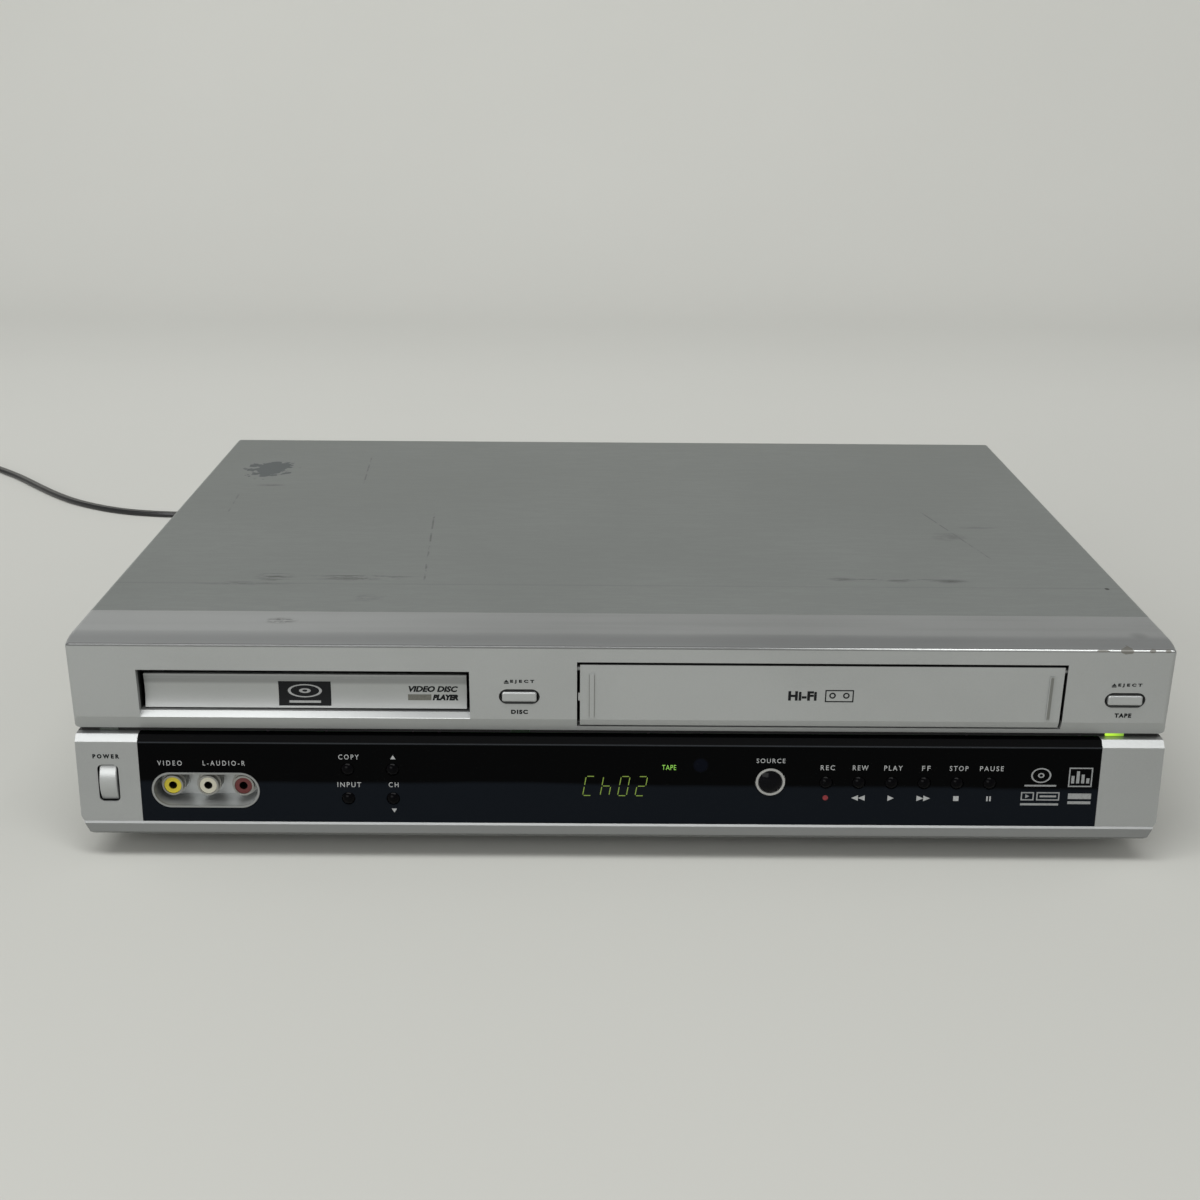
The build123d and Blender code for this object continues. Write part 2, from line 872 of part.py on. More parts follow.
def jack_plate():
    """The cup that the front jacks stand in."""
    width = jack_recess_width - 2 * seat_gap
    height = jack_recess_height - 2 * seat_gap
    end = lower_depth + jack_plate_depth
    cup = outline_back(SlotOverall(width, height), jack_x, jack_z, (lower_depth, end))
    flange = SlotOverall(width + 2 * jack_plate_flange, height + 2 * jack_plate_flange)
    back = lower_depth + window_wall + seat_gap
    cup += outline_back(flange, jack_x, jack_z, (back, back + jack_plate_wall))
    hollow = SlotOverall(width - 2 * jack_plate_wall, height - 2 * jack_plate_wall)
    floor = end - jack_plate_floor
    cup -= outline_back(hollow, jack_x, jack_z, (lower_depth - overrun, floor))
    for x in jack_places():
        cup -= rod_back(x, jack_z, (floor - overrun, end + overrun), jack_radius + seat_gap)
    return cup


def jack_places():
    return [jack_x + step * jack_pitch for step in (-1, 0, 1)]


def jack_shell(x):
    """A plated barrel on a round base, open at the front."""
    tip = lower_depth + jack_setback
    floor_end = lower_depth + jack_plate_depth
    shell = rod_back(x, jack_z, (tip, board_depth), jack_radius)
    shell += rod_back(x, jack_z, (floor_end, board_depth), jack_base_radius)
    collar_end = floor_end - jack_plate_floor - seat_gap
    shell += rod_back(x, jack_z, (tip + jack_collar_setback, collar_end), jack_collar_radius)
    return shell - rod_back(x, jack_z, (tip - overrun, floor_end), jack_radius - jack_wall)


def jack_insert(x):
    """The coloured lining of a jack, with the socket in its middle."""
    front = lower_depth + jack_setback + jack_insert_setback
    radius = jack_radius - jack_wall - seat_gap / 2
    insert = rod_back(x, jack_z, (front, lower_depth + jack_plate_depth), radius)
    return insert - rod_back(x, jack_z, (front - overrun, front + jack_bore_length), jack_bore_radius)


def lamp_lenses():
    """Three clear lenses in the back of the groove."""
    gap = seat_gap
    high = (groove_bottom_z + gap, groove_top_z - gap)
    front = groove_depth - lamp_proud
    deep = (front, front + lamp_length)
    return Compound(children=[block(span(x, lamp_width - 2 * gap), deep, high) for x in lamp_places])


def front_board():
    """The upright board behind the window, with a switch behind each button."""
    half = half_width - panel_wall - board_side_margin
    bottom = foot_height + panel_wall + board_bottom_margin
    deep = (board_depth, board_depth + board_thickness)
    board = block((-half, half), deep, (bottom, lower_top_z - board_top_margin))
    for x in (disc_eject_x, tape_eject_x):
        ear_x = min(x, half - board_ear_width / 2)
        board += block(span(ear_x, board_ear_width), deep, (bottom, eject_z + board_ear_rise))
    places = [(x, z) for name, x, z in small_buttons()]
    places += [(source_x, source_z), (power_x, power_z)]
    places += [(disc_eject_x, eject_z), (tape_eject_x, eject_z)]
    for x, z in places:
        switch = (board_front_depth, board_depth)
        board += block(span(x, switch_size), switch, span(z, switch_size))
    return board


def display_module():
    """The glass display tube and the holder that joins it to the board."""
    front = lower_depth + window_wall + display_window_gap
    z = kick_top_z + display_rise
    middle_z = z + display_height / 2
    tube_end = front + display_thickness
    tube = block(span(display_x, display_width), (front, tube_end), (z, z + display_height))
    holder_high = span(middle_z, display_base_height)
    holder = span(display_x, display_base_share * display_width)
    return tube + block(holder, (tube_end, board_depth), holder_high)


def screw_places():
    """Depth and height of the cover screws on each side."""
    z = foot_height + screw_rise
    return [(screw_front_depth, z), (cabinet_depth - screw_rear_setback, z)]


def side_screw(side, depth, z):
    head = sorted((side * half_width, side * (half_width + screw_head_height)))
    shank = sorted((side * half_width, side * (half_width - screw_length)))
    return rod_across(head, depth, z, screw_head_radius) + rod_across(shank, depth, z, screw_radius)


def cover_screws():
    return Compound(
        children=[side_screw(side, *place) for side in (-1, 1) for place in screw_places()]
    )


def screw_holes():
    radius = screw_radius + screw_hole_gap
    reach = half_width + overrun
    holes = [rod_across((-reach, reach), depth, z, radius) for depth, z in screw_places()]
    return holes[0] + holes[1]


def top_cover():
    """The folded steel cover: a top and two sides with rounded bends."""
    front = seam_depth + cover_gap / 2
    low = foot_height + cover_bottom_rise
    outer = block((-half_width, half_width), (front, cabinet_depth), (low, top_z))
    outer = fillet(outer.edges().filter_by(Axis.Y).group_by(Axis.Z)[-1], cover_bend)
    inside = half_width - cover_thickness
    through = (front - overrun, cabinet_depth + overrun)
    inner = block((-inside, inside), through, (low - overrun, top_z - cover_thickness))
    bends = inner.edges().filter_by(Axis.Y).group_by(Axis.Z)[-1]
    inner = fillet(bends, cover_bend - cover_thickness)
    return outer - inner - screw_holes()


def vent_rows(x, z_plane, depth):
    """A row of long slots cut through the floor."""
    slots = [
        Pos(x + (step - (vent_count - 1) / 2) * vent_pitch, y_at(depth), z_plane)
        * Box(vent_width, vent_length, 2 * base_thickness + overrun)
        for step in range(vent_count)
    ]
    return slots


def base_chassis():
    """The steel pan: floor, upturned flanges, board posts and vents."""
    half = half_width - cover_thickness - cover_gap
    front = seam_depth + cover_gap / 2
    rear = cabinet_depth - rear_recess / 2
    high = (foot_height, foot_height + base_flange_height)
    base = block((-half, half), (front, rear), (foot_height, base_top_z))
    for side in (-1, 1):
        flange = sorted((side * half, side * (half - base_thickness)))
        base += block(flange, (front, rear - 2 * rear_recess), high)
    base += block((-half, half), (front, front + base_thickness), high)
    for x, depth in main_board_corners() + power_board_corners():
        base += block(span(x, standoff_size), span(depth, standoff_size), (foot_height, board_z))
    vent_depth = cabinet_depth * vent_depth_share
    for side in (-1, 1):
        for slot in vent_rows(side * cabinet_width * vent_side_share, foot_height, vent_depth):
            base -= slot
    return base - screw_holes()


def rubber_feet():
    """Four tapered feet, each with its screw socket."""
    feet = []
    align = (Align.CENTER, Align.CENTER, Align.MIN)
    for side in (-1, 1):
        for depth in (foot_front_depth, cabinet_depth - foot_rear_setback):
            place = Pos(side * (half_width - foot_side_inset), y_at(depth), 0)
            foot = Cone(foot_tip_radius, foot_radius, foot_height, align=align)
            socket = Cylinder(foot_socket_radius, foot_socket_depth, align=align)
            feet.append(place * (foot - socket))
    return Compound(children=feet)


def main_board_range():
    half = half_width - main_board_side_margin
    rear = cabinet_depth - rear_recess - rear_thickness - main_board_rear_gap
    return (-half, half), (rear - main_board_length, rear)


def power_board_range():
    left = -half_width + main_board_side_margin
    rear = main_board_range()[1][0] - power_board_gap
    return (left, left + power_board_width), (rear - power_board_length, rear)


def board_corners(ranges):
    across, deep = ranges
    inset = standoff_inset
    depths = (deep[0] + inset, deep[1] - inset)
    return [(x, depth) for x in (across[0] + inset, across[1] - inset) for depth in depths]


def main_board_corners():
    return board_corners(main_board_range())


def power_board_corners():
    return board_corners(power_board_range())


def main_board():
    across, deep = main_board_range()
    top = board_z + board_thickness
    board = block(across, deep, (board_z, top))
    middle = (deep[0] + deep[1]) / 2 - chip_size / 2
    for share in chip_place_shares:
        x = across[0] + share * (across[1] - across[0])
        board += block(span(x, chip_size), span(middle, chip_size), (board_z, top + chip_height))
    return board


def power_supply():
    """The supply board with its transformer, main capacitor and heat sink."""
    across, deep = power_board_range()
    width = across[1] - across[0]
    middle = (deep[0] + deep[1]) / 2
    top = board_z + board_thickness
    board = block(across, deep, (board_z, top))
    core_x = across[0] + transformer_place_share * width
    core = span(core_x, transformer_width)
    board += block(core, span(middle, transformer_length), (board_z, top + transformer_height))
    can_x = across[0] + capacitor_place_share * width
    board += post(can_x, middle, (board_z, top + capacitor_height), capacitor_radius)
    sink_x = across[0] + heat_sink_place_share * width
    sink_deep = span(middle, power_board_length / 2)
    sink_high = (board_z, top + heat_sink_height)
    return board + block(span(sink_x, heat_sink_thickness), sink_deep, sink_high)


def rear_face_depth():
    return cabinet_depth - rear_recess


def rear_jack_places():
    left = rear_jack_x - (rear_jack_columns - 1) / 2 * rear_jack_pitch
    return [
        (left + column * rear_jack_pitch, rear_jack_z + row * rear_jack_row_pitch)
        for column in range(rear_jack_columns)
        for row in range(rear_jack_rows)
    ]


def antenna_places():
    return [(antenna_x, antenna_low_z), (antenna_x, antenna_low_z + antenna_pitch)]


def rear_panel():
    half = half_width - cover_thickness - cover_gap
    face = rear_face_depth()
    deep = (face - rear_thickness, face)
    panel = block((-half, half), deep, (base_top_z, top_z - cover_thickness - cover_gap))
    panel = chamfer(panel.edges().filter_by(Axis.Y).group_by(Axis.Z)[-1], rear_corner_cut)
    through = (deep[0] - overrun, deep[1] + overrun)
    for x, z in rear_jack_places():
        panel -= rod_back(x, z, through, jack_radius + rear_jack_hole_gap)
    for x, z in antenna_places():
        panel -= rod_back(x, z, through, antenna_radius + rear_jack_hole_gap)
    panel -= rod_back(cord_x, cord_z, through, relief_neck_radius + seat_gap)
    vent_z = (base_top_z + top_z) / 2
    middle_x = (cord_x + rear_jack_x) / 2
    for step in range(vent_count):
        x = middle_x + (step - (vent_count - 1) / 2) * vent_pitch
        panel -= block(span(x, vent_width), through, span(vent_z, vent_length))
    return panel


def rear_jack_block():
    """The moulded block behind the rear jacks, standing on the main board."""
    places = rear_jack_places()
    xs = [x for x, z in places]
    zs = [z for x, z in places]
    face = rear_face_depth() - rear_thickness
    across = (min(xs) - rear_block_margin, max(xs) + rear_block_margin)
    high = (board_z + board_thickness, max(zs) + rear_block_margin)
    return block(across, (face - rear_block_thickness, face), high)


def rear_jack_shells():
    inner = rear_face_depth() - rear_thickness
    tip = rear_face_depth() + rear_jack_length
    shells = []
    for x, z in rear_jack_places():
        shell = rod_back(x, z, (inner, tip), jack_radius)
        shells.append(shell - rod_back(x, z, (tip - jack_bore_length, tip + overrun), jack_bore_radius))
    return Compound(children=shells)


def antenna_tuner():
    """The tuner can with its two screw-on aerial sockets."""
    inner = rear_face_depth() - rear_thickness
    low = board_z + board_thickness
    across = span(antenna_x, tuner_width)
    tuner = block(across, (inner - tuner_length, inner), (low, low + tuner_height))
    tip = cabinet_depth + connector_reach
    for x, z in antenna_places():
        tuner += rod_back(x, z, (inner, tip), antenna_radius)
        tuner -= rod_back(x, z, (tip - jack_bore_length, tip + overrun), antenna_bore_radius)
    return tuner


def strain_relief():
    """The bushing in the rear panel and the tapered sleeve round the cord."""
    outer = rear_face_depth()
    inner = outer - rear_thickness
    neck_front = inner - relief_flange_thickness
    flange_end = outer + relief_flange_thickness
    lines = Polyline(
        (0, neck_front),
        (relief_flange_radius, neck_front),
        (relief_flange_radius, inner),
        (relief_neck_radius, inner),
        (relief_neck_radius, outer),
        (relief_flange_radius, outer),
        (relief_flange_radius, flange_end),
        (relief_root_radius, flange_end),
        (relief_tip_radius, flange_end + relief_length),
        (0, flange_end + relief_length),
        (0, neck_front),
    )
    return turned(lines.edges(), cord_x, cord_z)


def cord_floor_z():
    return cord_thickness / 2 + cord_floor_gap


def cord_route():
    """Points of the free cord: out of the sleeve, down to the floor and away to the left."""
    start = rear_face_depth() + relief_flange_thickness + relief_length
    floor = cord_floor_z()
    chosen = [
        (cord_x, start, cord_z),
        (cord_x, start + relief_straight, cord_z),
        (-151, 408, 32.5),
        (-156, 429, 22.5),
        (-166, 452, 10),
        (-182, 475, floor),
        (-206, 496, floor),
        (-235, 511, floor),
        (-267, 518.5, floor),
        (-302, 518.5, floor),
        (-336, 526, floor),
        (-369, 546, floor),
        (-392, 568.5, floor),
        (-414, 595, floor),
        (-436, 622.5, floor),
        (-461, 648, floor),
        (-493, 679, floor),
    ]
    return [Vector(x, y_at(depth), z) for x, depth, z in chosen]


def cord_section(start, direction):
    """The flat cord's outline, square to its way."""
    plane = Plane(origin=start, x_dir=direction.cross(Vector(0, 0, 1)), z_dir=direction)
    return plane * chamfer(Rectangle(cord_width, cord_thickness).vertices(), cord_edge_cut)


def arc_radii(points):
    """Each corner's radius, as large as the two runs beside it allow."""
    radii = []
    for before, corner, after in zip(points, points[1:], points[2:]):
        turn = radians((corner - before).get_angle(after - corner))
        run = min((corner - before).length, (after - corner).length)
        radii.append(cord_run_share * run / tan(turn / 2))
    return radii


def power_cord():
    points = cord_route()
    radii = arc_radii(points)
    path = FilletPolyline(*points, radius=radii)
    print("cord arc radii", [round(radius, 1) for radius in radii])
    tube = sweep(cord_section(points[0], (points[1] - points[0]).normalized()), path=path)
    area = cord_width * cord_thickness - 2 * cord_edge_cut**2
    share = tube.volume / area / path.length
    print("cord length", round(path.length, 1), "volume share", round(share, 4))
    return tube


def coil_frame():
    """The coil's own plane: it starts where the free cord ends and turns to the left."""
    points = cord_route()
    ahead = (points[-1] - points[-2]).normalized()
    right = ahead.cross(Vector(0, 0, 1))
    middle = points[-1] - right * coil_outer_radius()
    return middle, right, ahead


def coil_outer_radius():
    return coil_inner_radius + coil_half_turns * coil_turn_pitch / 2


def coil_path():
    """Two flat spirals of half turns, in and out again, with the climb where they reverse."""
    middle, right, ahead = coil_frame()

    def at(u, v, rise):
        return middle + right * u + ahead * v + Vector(0, 0, rise)

    edges = []
    step = coil_turn_pitch / 2
    radius = coil_outer_radius()
    side = 1

    def half_turn(end_radius, rise):
        reach = (radius + end_radius) / 2
        middle_u = side * (radius - end_radius) / 2
        start = at(side * radius, 0, rise)
        top = at(middle_u, side * reach, rise)
        return ThreePointArc(start, top, at(-side * end_radius, 0, rise))

    for turn in range(coil_half_turns):
        edges.append(half_turn(radius - step, 0))
        radius -= step
        side = -side
    start = at(side * radius, 0, 0)
    quarter = at(0, side * radius, coil_layer_pitch / 2)
    first = TangentArc(start, quarter, tangent=ahead * side)
    second = TangentArc(quarter, at(-side * radius, 0, coil_layer_pitch), tangent=first % 1)
    edges += [first, second]
    side = -side
    for turn in range(coil_half_turns):
        edges.append(half_turn(radius + step, coil_layer_pitch))
        radius += step
        side = -side
    end = at(side * radius, 0, coil_layer_pitch)
    edges.append(Line(end, end + ahead * side * coil_tail))
    return Wire(edges)


def self_gap(path):
    """The least room between two turns of the coil, measured on points along its middle."""
    count = round(path.length / cord_thickness)
    points = [path @ (step / count) for step in range(count + 1)]
    apart = round(coil_inner_radius * pi / 2 / cord_thickness)
    corner_room = cord_width + cord_thickness - 2 * cord_edge_cut
    gaps = []
    for first, one in enumerate(points):
        for other in points[first + apart :]:
            level = abs(one.Z - other.Z)
            flat = dist((one.X, one.Y), (other.X, other.Y))
            slant = (flat + level - corner_room) * cos(pi / 4)
            gaps.append(max(flat - cord_width, level - cord_thickness, slant))
    return min(gaps)


def cord_coil():
    path = coil_path()
    middle, right, ahead = coil_frame()
    start = cord_route()[-1]
    print("coil length", round(path.length, 1), "least gap", round(self_gap(path), 2))
    return sweep(cord_section(start, ahead), path=path)


def cord_tie():
    """A flat band round one side of the coil."""
    middle, right, ahead = coil_frame()
    inner = coil_inner_radius - cord_width / 2 - tie_gap
    outer = coil_outer_radius() + cord_width / 2 + tie_gap
    low = tie_thickness / 4
    high = cord_floor_z() + coil_layer_pitch + cord_thickness / 2 + tie_gap
    reach = (inner + outer) / 2
    plane = Plane(origin=middle + ahead * reach, x_dir=ahead, z_dir=right)
    band_middle = (low + high) / 2 - cord_floor_z()
    room = Rectangle(outer - inner, high - low)
    band = Rectangle(outer - inner + 2 * tie_thickness, high - low + tie_thickness)
    band_shape = Pos(0, band_middle + tie_thickness / 2) * band - Pos(0, band_middle) * room
    return extrude(plane * band_shape, amount=tie_width / 2, both=True)


def plug_frame():
    """Where the cord's tail ends and the plug begins, and which way it points."""
    path = coil_path()
    way = (path % 1).normalized()
    return (path @ 1) + way * plug_seat_gap, way


def power_plug():
    """A flat two-pin plug that swells towards its face."""
    start, way = plug_frame()
    plane = Plane(origin=start, x_dir=way.cross(Vector(0, 0, 1)), z_dir=way)
    back = RectangleRounded(plug_width * plug_taper_share, plug_thickness, plug_edge)
    face = RectangleRounded(plug_width, plug_thickness, plug_edge)
    sections = [
        plane * back,
        plane.offset(plug_length / 2) * face,
        plane.offset(plug_length) * face,
    ]
    return loft(sections, ruled=True)


def plug_blades():
    start, way = plug_frame()
    plane = Plane(origin=start + way * plug_length, x_dir=way.cross(Vector(0, 0, 1)), z_dir=way)
    blade = Rectangle(blade_thickness, blade_width)
    places = [Pos(side * blade_pitch / 2, 0) for side in (-1, 1)]
    blades = [extrude(plane * (place * blade), amount=blade_length) for place in places]
    return Compound(children=blades)


def door_section():
    """The cassette door from its end: it follows the panel's face, crease and chamfer."""
    top = tape_slot_z + tape_slot_height - door_top_gap
    bottom = tape_slot_z + door_bottom_gap
    slope = (chamfer_depth - crease_depth) / chamfer_height
    bottom_depth = crease_depth + slope * (crease_z - bottom)
    return Polygon(
        (upper_face_depth(top), top),
        (crease_depth, crease_z),
        (bottom_depth, bottom),
        (bottom_depth + door_wall, bottom),
        (crease_depth + door_wall, crease_z),
        (upper_face_depth(top) + door_wall, top),
        align=None,
    )


def cassette_door():
    """The flap over the cassette slot, with its hinge pins, grip lines and side tab."""
    width = tape_slot_width - 2 * door_side_gap
    door = profile_across(door_section(), span(tape_x, width))
    pin_depth, pin_z = door_pin_place()
    face = upper_face_depth(pin_z)
    pin_range = span(tape_x, tape_slot_width + 2 * (door_pin_length - slide_gap))
    rib_deep = (face + door_wall / 2, pin_depth)
    rib = block(span(tape_x, width), rib_deep, span(pin_z, 2 * door_pin_radius))
    door += rib + rod_across(pin_range, pin_depth, pin_z, door_pin_radius)
    middle_z = crease_z + upper_face_height / 3
    grip_high = (middle_z - door_grip_height / 2, middle_z + door_grip_height / 2)
    for side in (-1, 1):
        x = tape_x + side * (width / 2 - door_grip_inset)
        grip = Polygon(
            (upper_face_depth(grip_high[0]) - door_grip_rise, grip_high[0]),
            (upper_face_depth(grip_high[0]) + door_grip_rise, grip_high[0]),
            (upper_face_depth(grip_high[1]) + door_grip_rise, grip_high[1]),
            (upper_face_depth(grip_high[1]) - door_grip_rise, grip_high[1]),
            align=None,
        )
        door += profile_across(grip, span(x, door_grip_width))
    tab_x = tape_x - width / 2
    tab_face = upper_face_depth(eject_z)
    tab_deep = (tab_face + door_grip_rise, tab_face + door_wall)
    return door + block(span(tab_x, 2 * door_tab_length), tab_deep, span(eject_z, door_tab_height))


def slot_path(points, radius, across):
    """A slot of round-ended runs through upright plates, along points of depth and height."""
    cut = None
    for start, end in zip(points, points[1:]):
        deep = sorted((start[0], end[0]))
        high = sorted((start[1], end[1]))
        if deep[0] == deep[1]:
            run = block(across, (deep[0] - radius, deep[0] + radius), high)
        else:
            run = block(across, deep, (high[0] - radius, high[0] + radius))
        run += rod_across(across, start[0], start[1], radius)
        run += rod_across(across, end[0], end[1], radius)
        cut = run if cut is None else cut + run
    return cut


def deck_chassis():
    """The deck plate with its legs, bearing boss, shafts and tape posts."""
    across = span(tape_x, 2 * deck_half_width)
    deck = block(across, (deck_front_depth, deck_rear_depth), (deck_z, deck_top_z))
    inset = deck_leg_inset
    for x in (across[0] + inset, across[1] - inset):
        for depth in (deck_front_depth + inset, capstan_depth + deck_leg_setback):
            leg = span(x, deck_leg_size)
            deck += block(leg, span(depth, deck_leg_size), (base_top_z, deck_top_z))
    capstan_x = tape_x + capstan_offset
    flywheel_top = base_top_z + flywheel_lift + flywheel_height
    boss = (flywheel_top + slide_gap, deck_top_z + capstan_boss_rise)
    deck += post(capstan_x, capstan_depth, boss, capstan_boss_radius)
    bore = (base_top_z, deck_top_z + capstan_boss_rise + overrun)
    deck -= post(capstan_x, capstan_depth, bore, capstan_radius + bearing_gap)
    reel_top = deck_top_z + reel_lift + reel_flange_thickness + reel_hub_height - slide_gap
    for side in (-1, 1):
        x = tape_x + side * reel_spacing / 2
        deck += post(x, reel_depth, (deck_z, reel_top - reel_lift), reel_post_radius)
    pinch_x = tape_x + pinch_post_offset
    pinch_top = deck_top_z + pinch_arm_lift + 2 * pinch_arm_thickness
    deck += post(pinch_x, pinch_post_depth, (deck_z, pinch_top), pinch_post_radius)
    flange_radius = tape_post_radius + tape_post_flange
    for share in tape_post_place_shares:
        x = tape_x + share * deck_half_width
        top = deck_top_z + tape_post_height
        deck += post(x, tape_post_depth, (deck_z, top), tape_post_radius)
        deck += post(x, tape_post_depth, (top, top + tape_post_flange_height), flange_radius)
    return deck


def pin_slots(across):
    """The two L-shaped ways that guide the holder's pins: back along the deck, then down."""
    radius = guide_pin_radius + guide_pin_gap
    cuts = []
    for depth, z in (front_pin, rear_pin):
        points = ((depth - holder_travel, z), (depth, z), (depth, z - holder_drop))
        cuts.append(slot_path(points, radius, across))
    return cuts


def carriage_brackets():
    """The two upright side plates on the deck, with the slots for the holder's pins."""
    plates = []
    deep = (bracket_front_depth, holder_rear_depth + bracket_rear_margin)
    for side in (-1, 1):
        inner = tape_x + side * bracket_half
        outer = inner + side * bracket_wall
        plate = block(sorted((inner, outer)), deep, (deck_top_z, bracket_top_z))
        foot = sorted((inner, inner + side * (bracket_wall + bracket_foot)))
        plate += block(foot, deep, (deck_top_z, deck_top_z + bracket_wall))
        through = sorted((inner - side * overrun, outer + side * overrun))
        for cut in pin_slots(through):
            plate -= cut
        plates.append(plate)
    return Compound(children=plates)


def carriage():
    """The drive slider: two plates with upright slots, joined by a bar over the cassette."""
    deep = (holder_rear_depth - carriage_length, holder_rear_depth)
    bar_z = bracket_top_z + slide_gap
    bar_high = (bar_z, bar_z + carriage_flange)
    low = front_pin[1] - holder_drop - 2 * guide_pin_radius
    outer_edge = bracket_half + bracket_wall
    middle = (deep[0] + deep[1]) / 2
    slider = block(span(tape_x, 2 * carriage_half), span(middle, carriage_bar_width), bar_high)
    radius = guide_pin_radius + guide_pin_gap
    for side in (-1, 1):
        inner = tape_x + side * carriage_half
        outer = inner + side * carriage_wall
        slider += block(sorted((inner, outer)), deep, (low, bar_high[1]))
        slider += block(sorted((inner, tape_x + side * outer_edge)), deep, bar_high)
        through = sorted((inner - side * overrun, outer + side * carriage_gap / 2))
        for depth, z in (front_pin, rear_pin):
            slider -= slot_path(((depth, z), (depth, z - holder_drop)), radius, through)
    return slider


def cassette_holder():
    """The cage that takes the cassette: floor with reel openings, sides, top tabs and stops."""
    deep = (holder_front_depth, holder_rear_depth)
    top = holder_z + holder_height
    holder = block(span(tape_x, 2 * holder_outer), deep, (holder_z, holder_z + holder_floor))
    for side in (-1, 1):
        inner = tape_x + side * holder_half
        outer = tape_x + side * holder_outer
        holder += block(sorted((inner, outer)), deep, (holder_z, top + holder_floor))
        tab = sorted((outer, inner - side * holder_tab_width))
        holder += block(tab, deep, (top, top + holder_floor))
        stop = sorted((inner, inner - side * holder_stop_width))
        stop_deep = (deep[1] - holder_wall, deep[1])
        holder += block(stop, stop_deep, (holder_z, holder_z + holder_stop_height))
        pin_end = tape_x + side * (bracket_half + bracket_wall + slide_gap)
        for depth, z in (front_pin, rear_pin):
            holder += rod_across(sorted((inner, pin_end)), depth, z, guide_pin_radius)
        reel_x = tape_x + side * reel_spacing / 2
        opening = (holder_z - overrun, holder_z + holder_floor + overrun)
        holder -= post(reel_x, reel_depth, opening, holder_clear_radius)
    return holder


def drum_place():
    """The tilted axis that both halves of the head drum stand on."""
    return Pos(tape_x, y_at(drum_depth), drum_base_z) * Rot(0, drum_tilt, 0)


def drum_base():
    """The fixed lower drum on its foot, cut flat where it meets the deck."""
    align = (Align.CENTER, Align.CENTER, Align.MIN)
    below = drum_radius * tan(radians(drum_tilt)) + overrun
    lower = Cylinder(drum_radius, drum_lower_height + below, align=align)
    lower = drum_place() * Pos(0, 0, -below) * lower
    foot = span(tape_x, drum_foot_width)
    deep = span(drum_depth, drum_foot_length)
    foot_high = (drum_base_z, drum_base_z + drum_foot_thickness)
    sunk = (drum_base_z - 2 * below, drum_base_z)
    reach = drum_radius + 2 * below
    under = block(span(tape_x, 2 * reach), span(drum_depth, 2 * reach), sunk)
    base = lower - under + block(foot, deep, foot_high)
    bore = Cylinder(drum_shaft_radius + bearing_gap, 2 * drum_shaft_length)
    return base - drum_place() * Pos(0, 0, drum_lower_height) * bore


def head_drum():
    """The spinning upper drum, with its cap and shaft."""
    align = (Align.CENTER, Align.CENTER, Align.MIN)
    start = drum_lower_height + drum_gap
    drum = Pos(0, 0, start) * Cylinder(drum_radius, drum_upper_height, align=align)
    top = start + drum_upper_height
    drum += Pos(0, 0, top) * Cylinder(drum_cap_radius, drum_cap_height, align=align)
    shaft_start = drum_lower_height - drum_shaft_length + drum_gap
    shaft = Cylinder(drum_shaft_radius, drum_shaft_length, align=align)
    return drum_place() * (drum + Pos(0, 0, shaft_start) * shaft)


def reel(side):
    """A reel table: flange, hub and the fins that drive the cassette's spool."""
    x = tape_x + side * reel_spacing / 2
    low = deck_top_z + reel_lift
    flange_top = low + reel_flange_thickness
    top = flange_top + reel_hub_height
    table = post(x, reel_depth, (low, flange_top), reel_radius)
    table += post(x, reel_depth, (low, top), reel_hub_radius)
    align = (Align.MIN, Align.CENTER, Align.MIN)
    fin = Box(reel_hub_radius + reel_fin_reach, reel_fin_width, reel_hub_height, align=align)
    for step in range(reel_fin_count):
        turn = Rot(0, 0, step * 360 / reel_fin_count)
        table += Pos(x, y_at(reel_depth), flange_top) * turn * fin
    return table - post(x, reel_depth, (low - overrun, top + overrun), reel_post_radius + bearing_gap)


def capstan():
    """The capstan shaft on its flywheel, which runs under the deck."""
    x = tape_x + capstan_offset
    low = base_top_z + flywheel_lift
    wheel_top = low + flywheel_height
    wheel = post(x, capstan_depth, (low, wheel_top), flywheel_radius)
    groove = span((low + wheel_top) / 2, flywheel_groove_height)
    band = post(x, capstan_depth, groove, flywheel_radius + overrun)
    band -= post(x, capstan_depth, groove, flywheel_radius - flywheel_groove)
    return wheel - band + post(x, capstan_depth, (low, deck_top_z + capstan_reach), capstan_radius)


def pinch_rest_place():
    """The roller's place at rest: its nip on the capstan, swung clear about the arm's post."""
    post_place = (tape_x + pinch_post_offset, pinch_post_depth)
    nip_reach = capstan_radius + pinch_roller_radius + pinch_nip_gap
    nip = (tape_x + capstan_offset, capstan_depth + nip_reach)
    reach = dist(post_place, nip)
    angle = atan2(nip[1] - post_place[1], nip[0] - post_place[0]) - radians(pinch_swing)
    return post_place[0] + reach * cos(angle), post_place[1] + reach * sin(angle), degrees(angle), reach


def pinch_arm():
    """The swinging arm with its boss and the pin that carries the roller."""
    x, depth, angle, reach = pinch_rest_place()
    post_x = tape_x + pinch_post_offset
    low = deck_top_z + pinch_arm_lift
    high = (low, low + pinch_arm_thickness)
    bar = Box(reach, pinch_arm_width, pinch_arm_thickness, align=(Align.MIN, Align.CENTER, Align.MIN))
    arm = Pos(post_x, y_at(pinch_post_depth), low) * Rot(0, 0, angle) * bar
    boss_high = (deck_top_z + slide_gap, high[1] + pinch_arm_thickness)
    arm += post(post_x, pinch_post_depth, boss_high, pinch_boss_radius)
    arm += post(x, depth, high, pinch_arm_width / 2)
    pin_top = high[1] + pinch_roller_height + 2 * slide_gap
    arm += post(x, depth, (low, pin_top), pinch_pin_radius)
    bore = (deck_top_z, boss_high[1] + overrun)
    return arm - post(post_x, pinch_post_depth, bore, pinch_post_radius + bearing_gap)


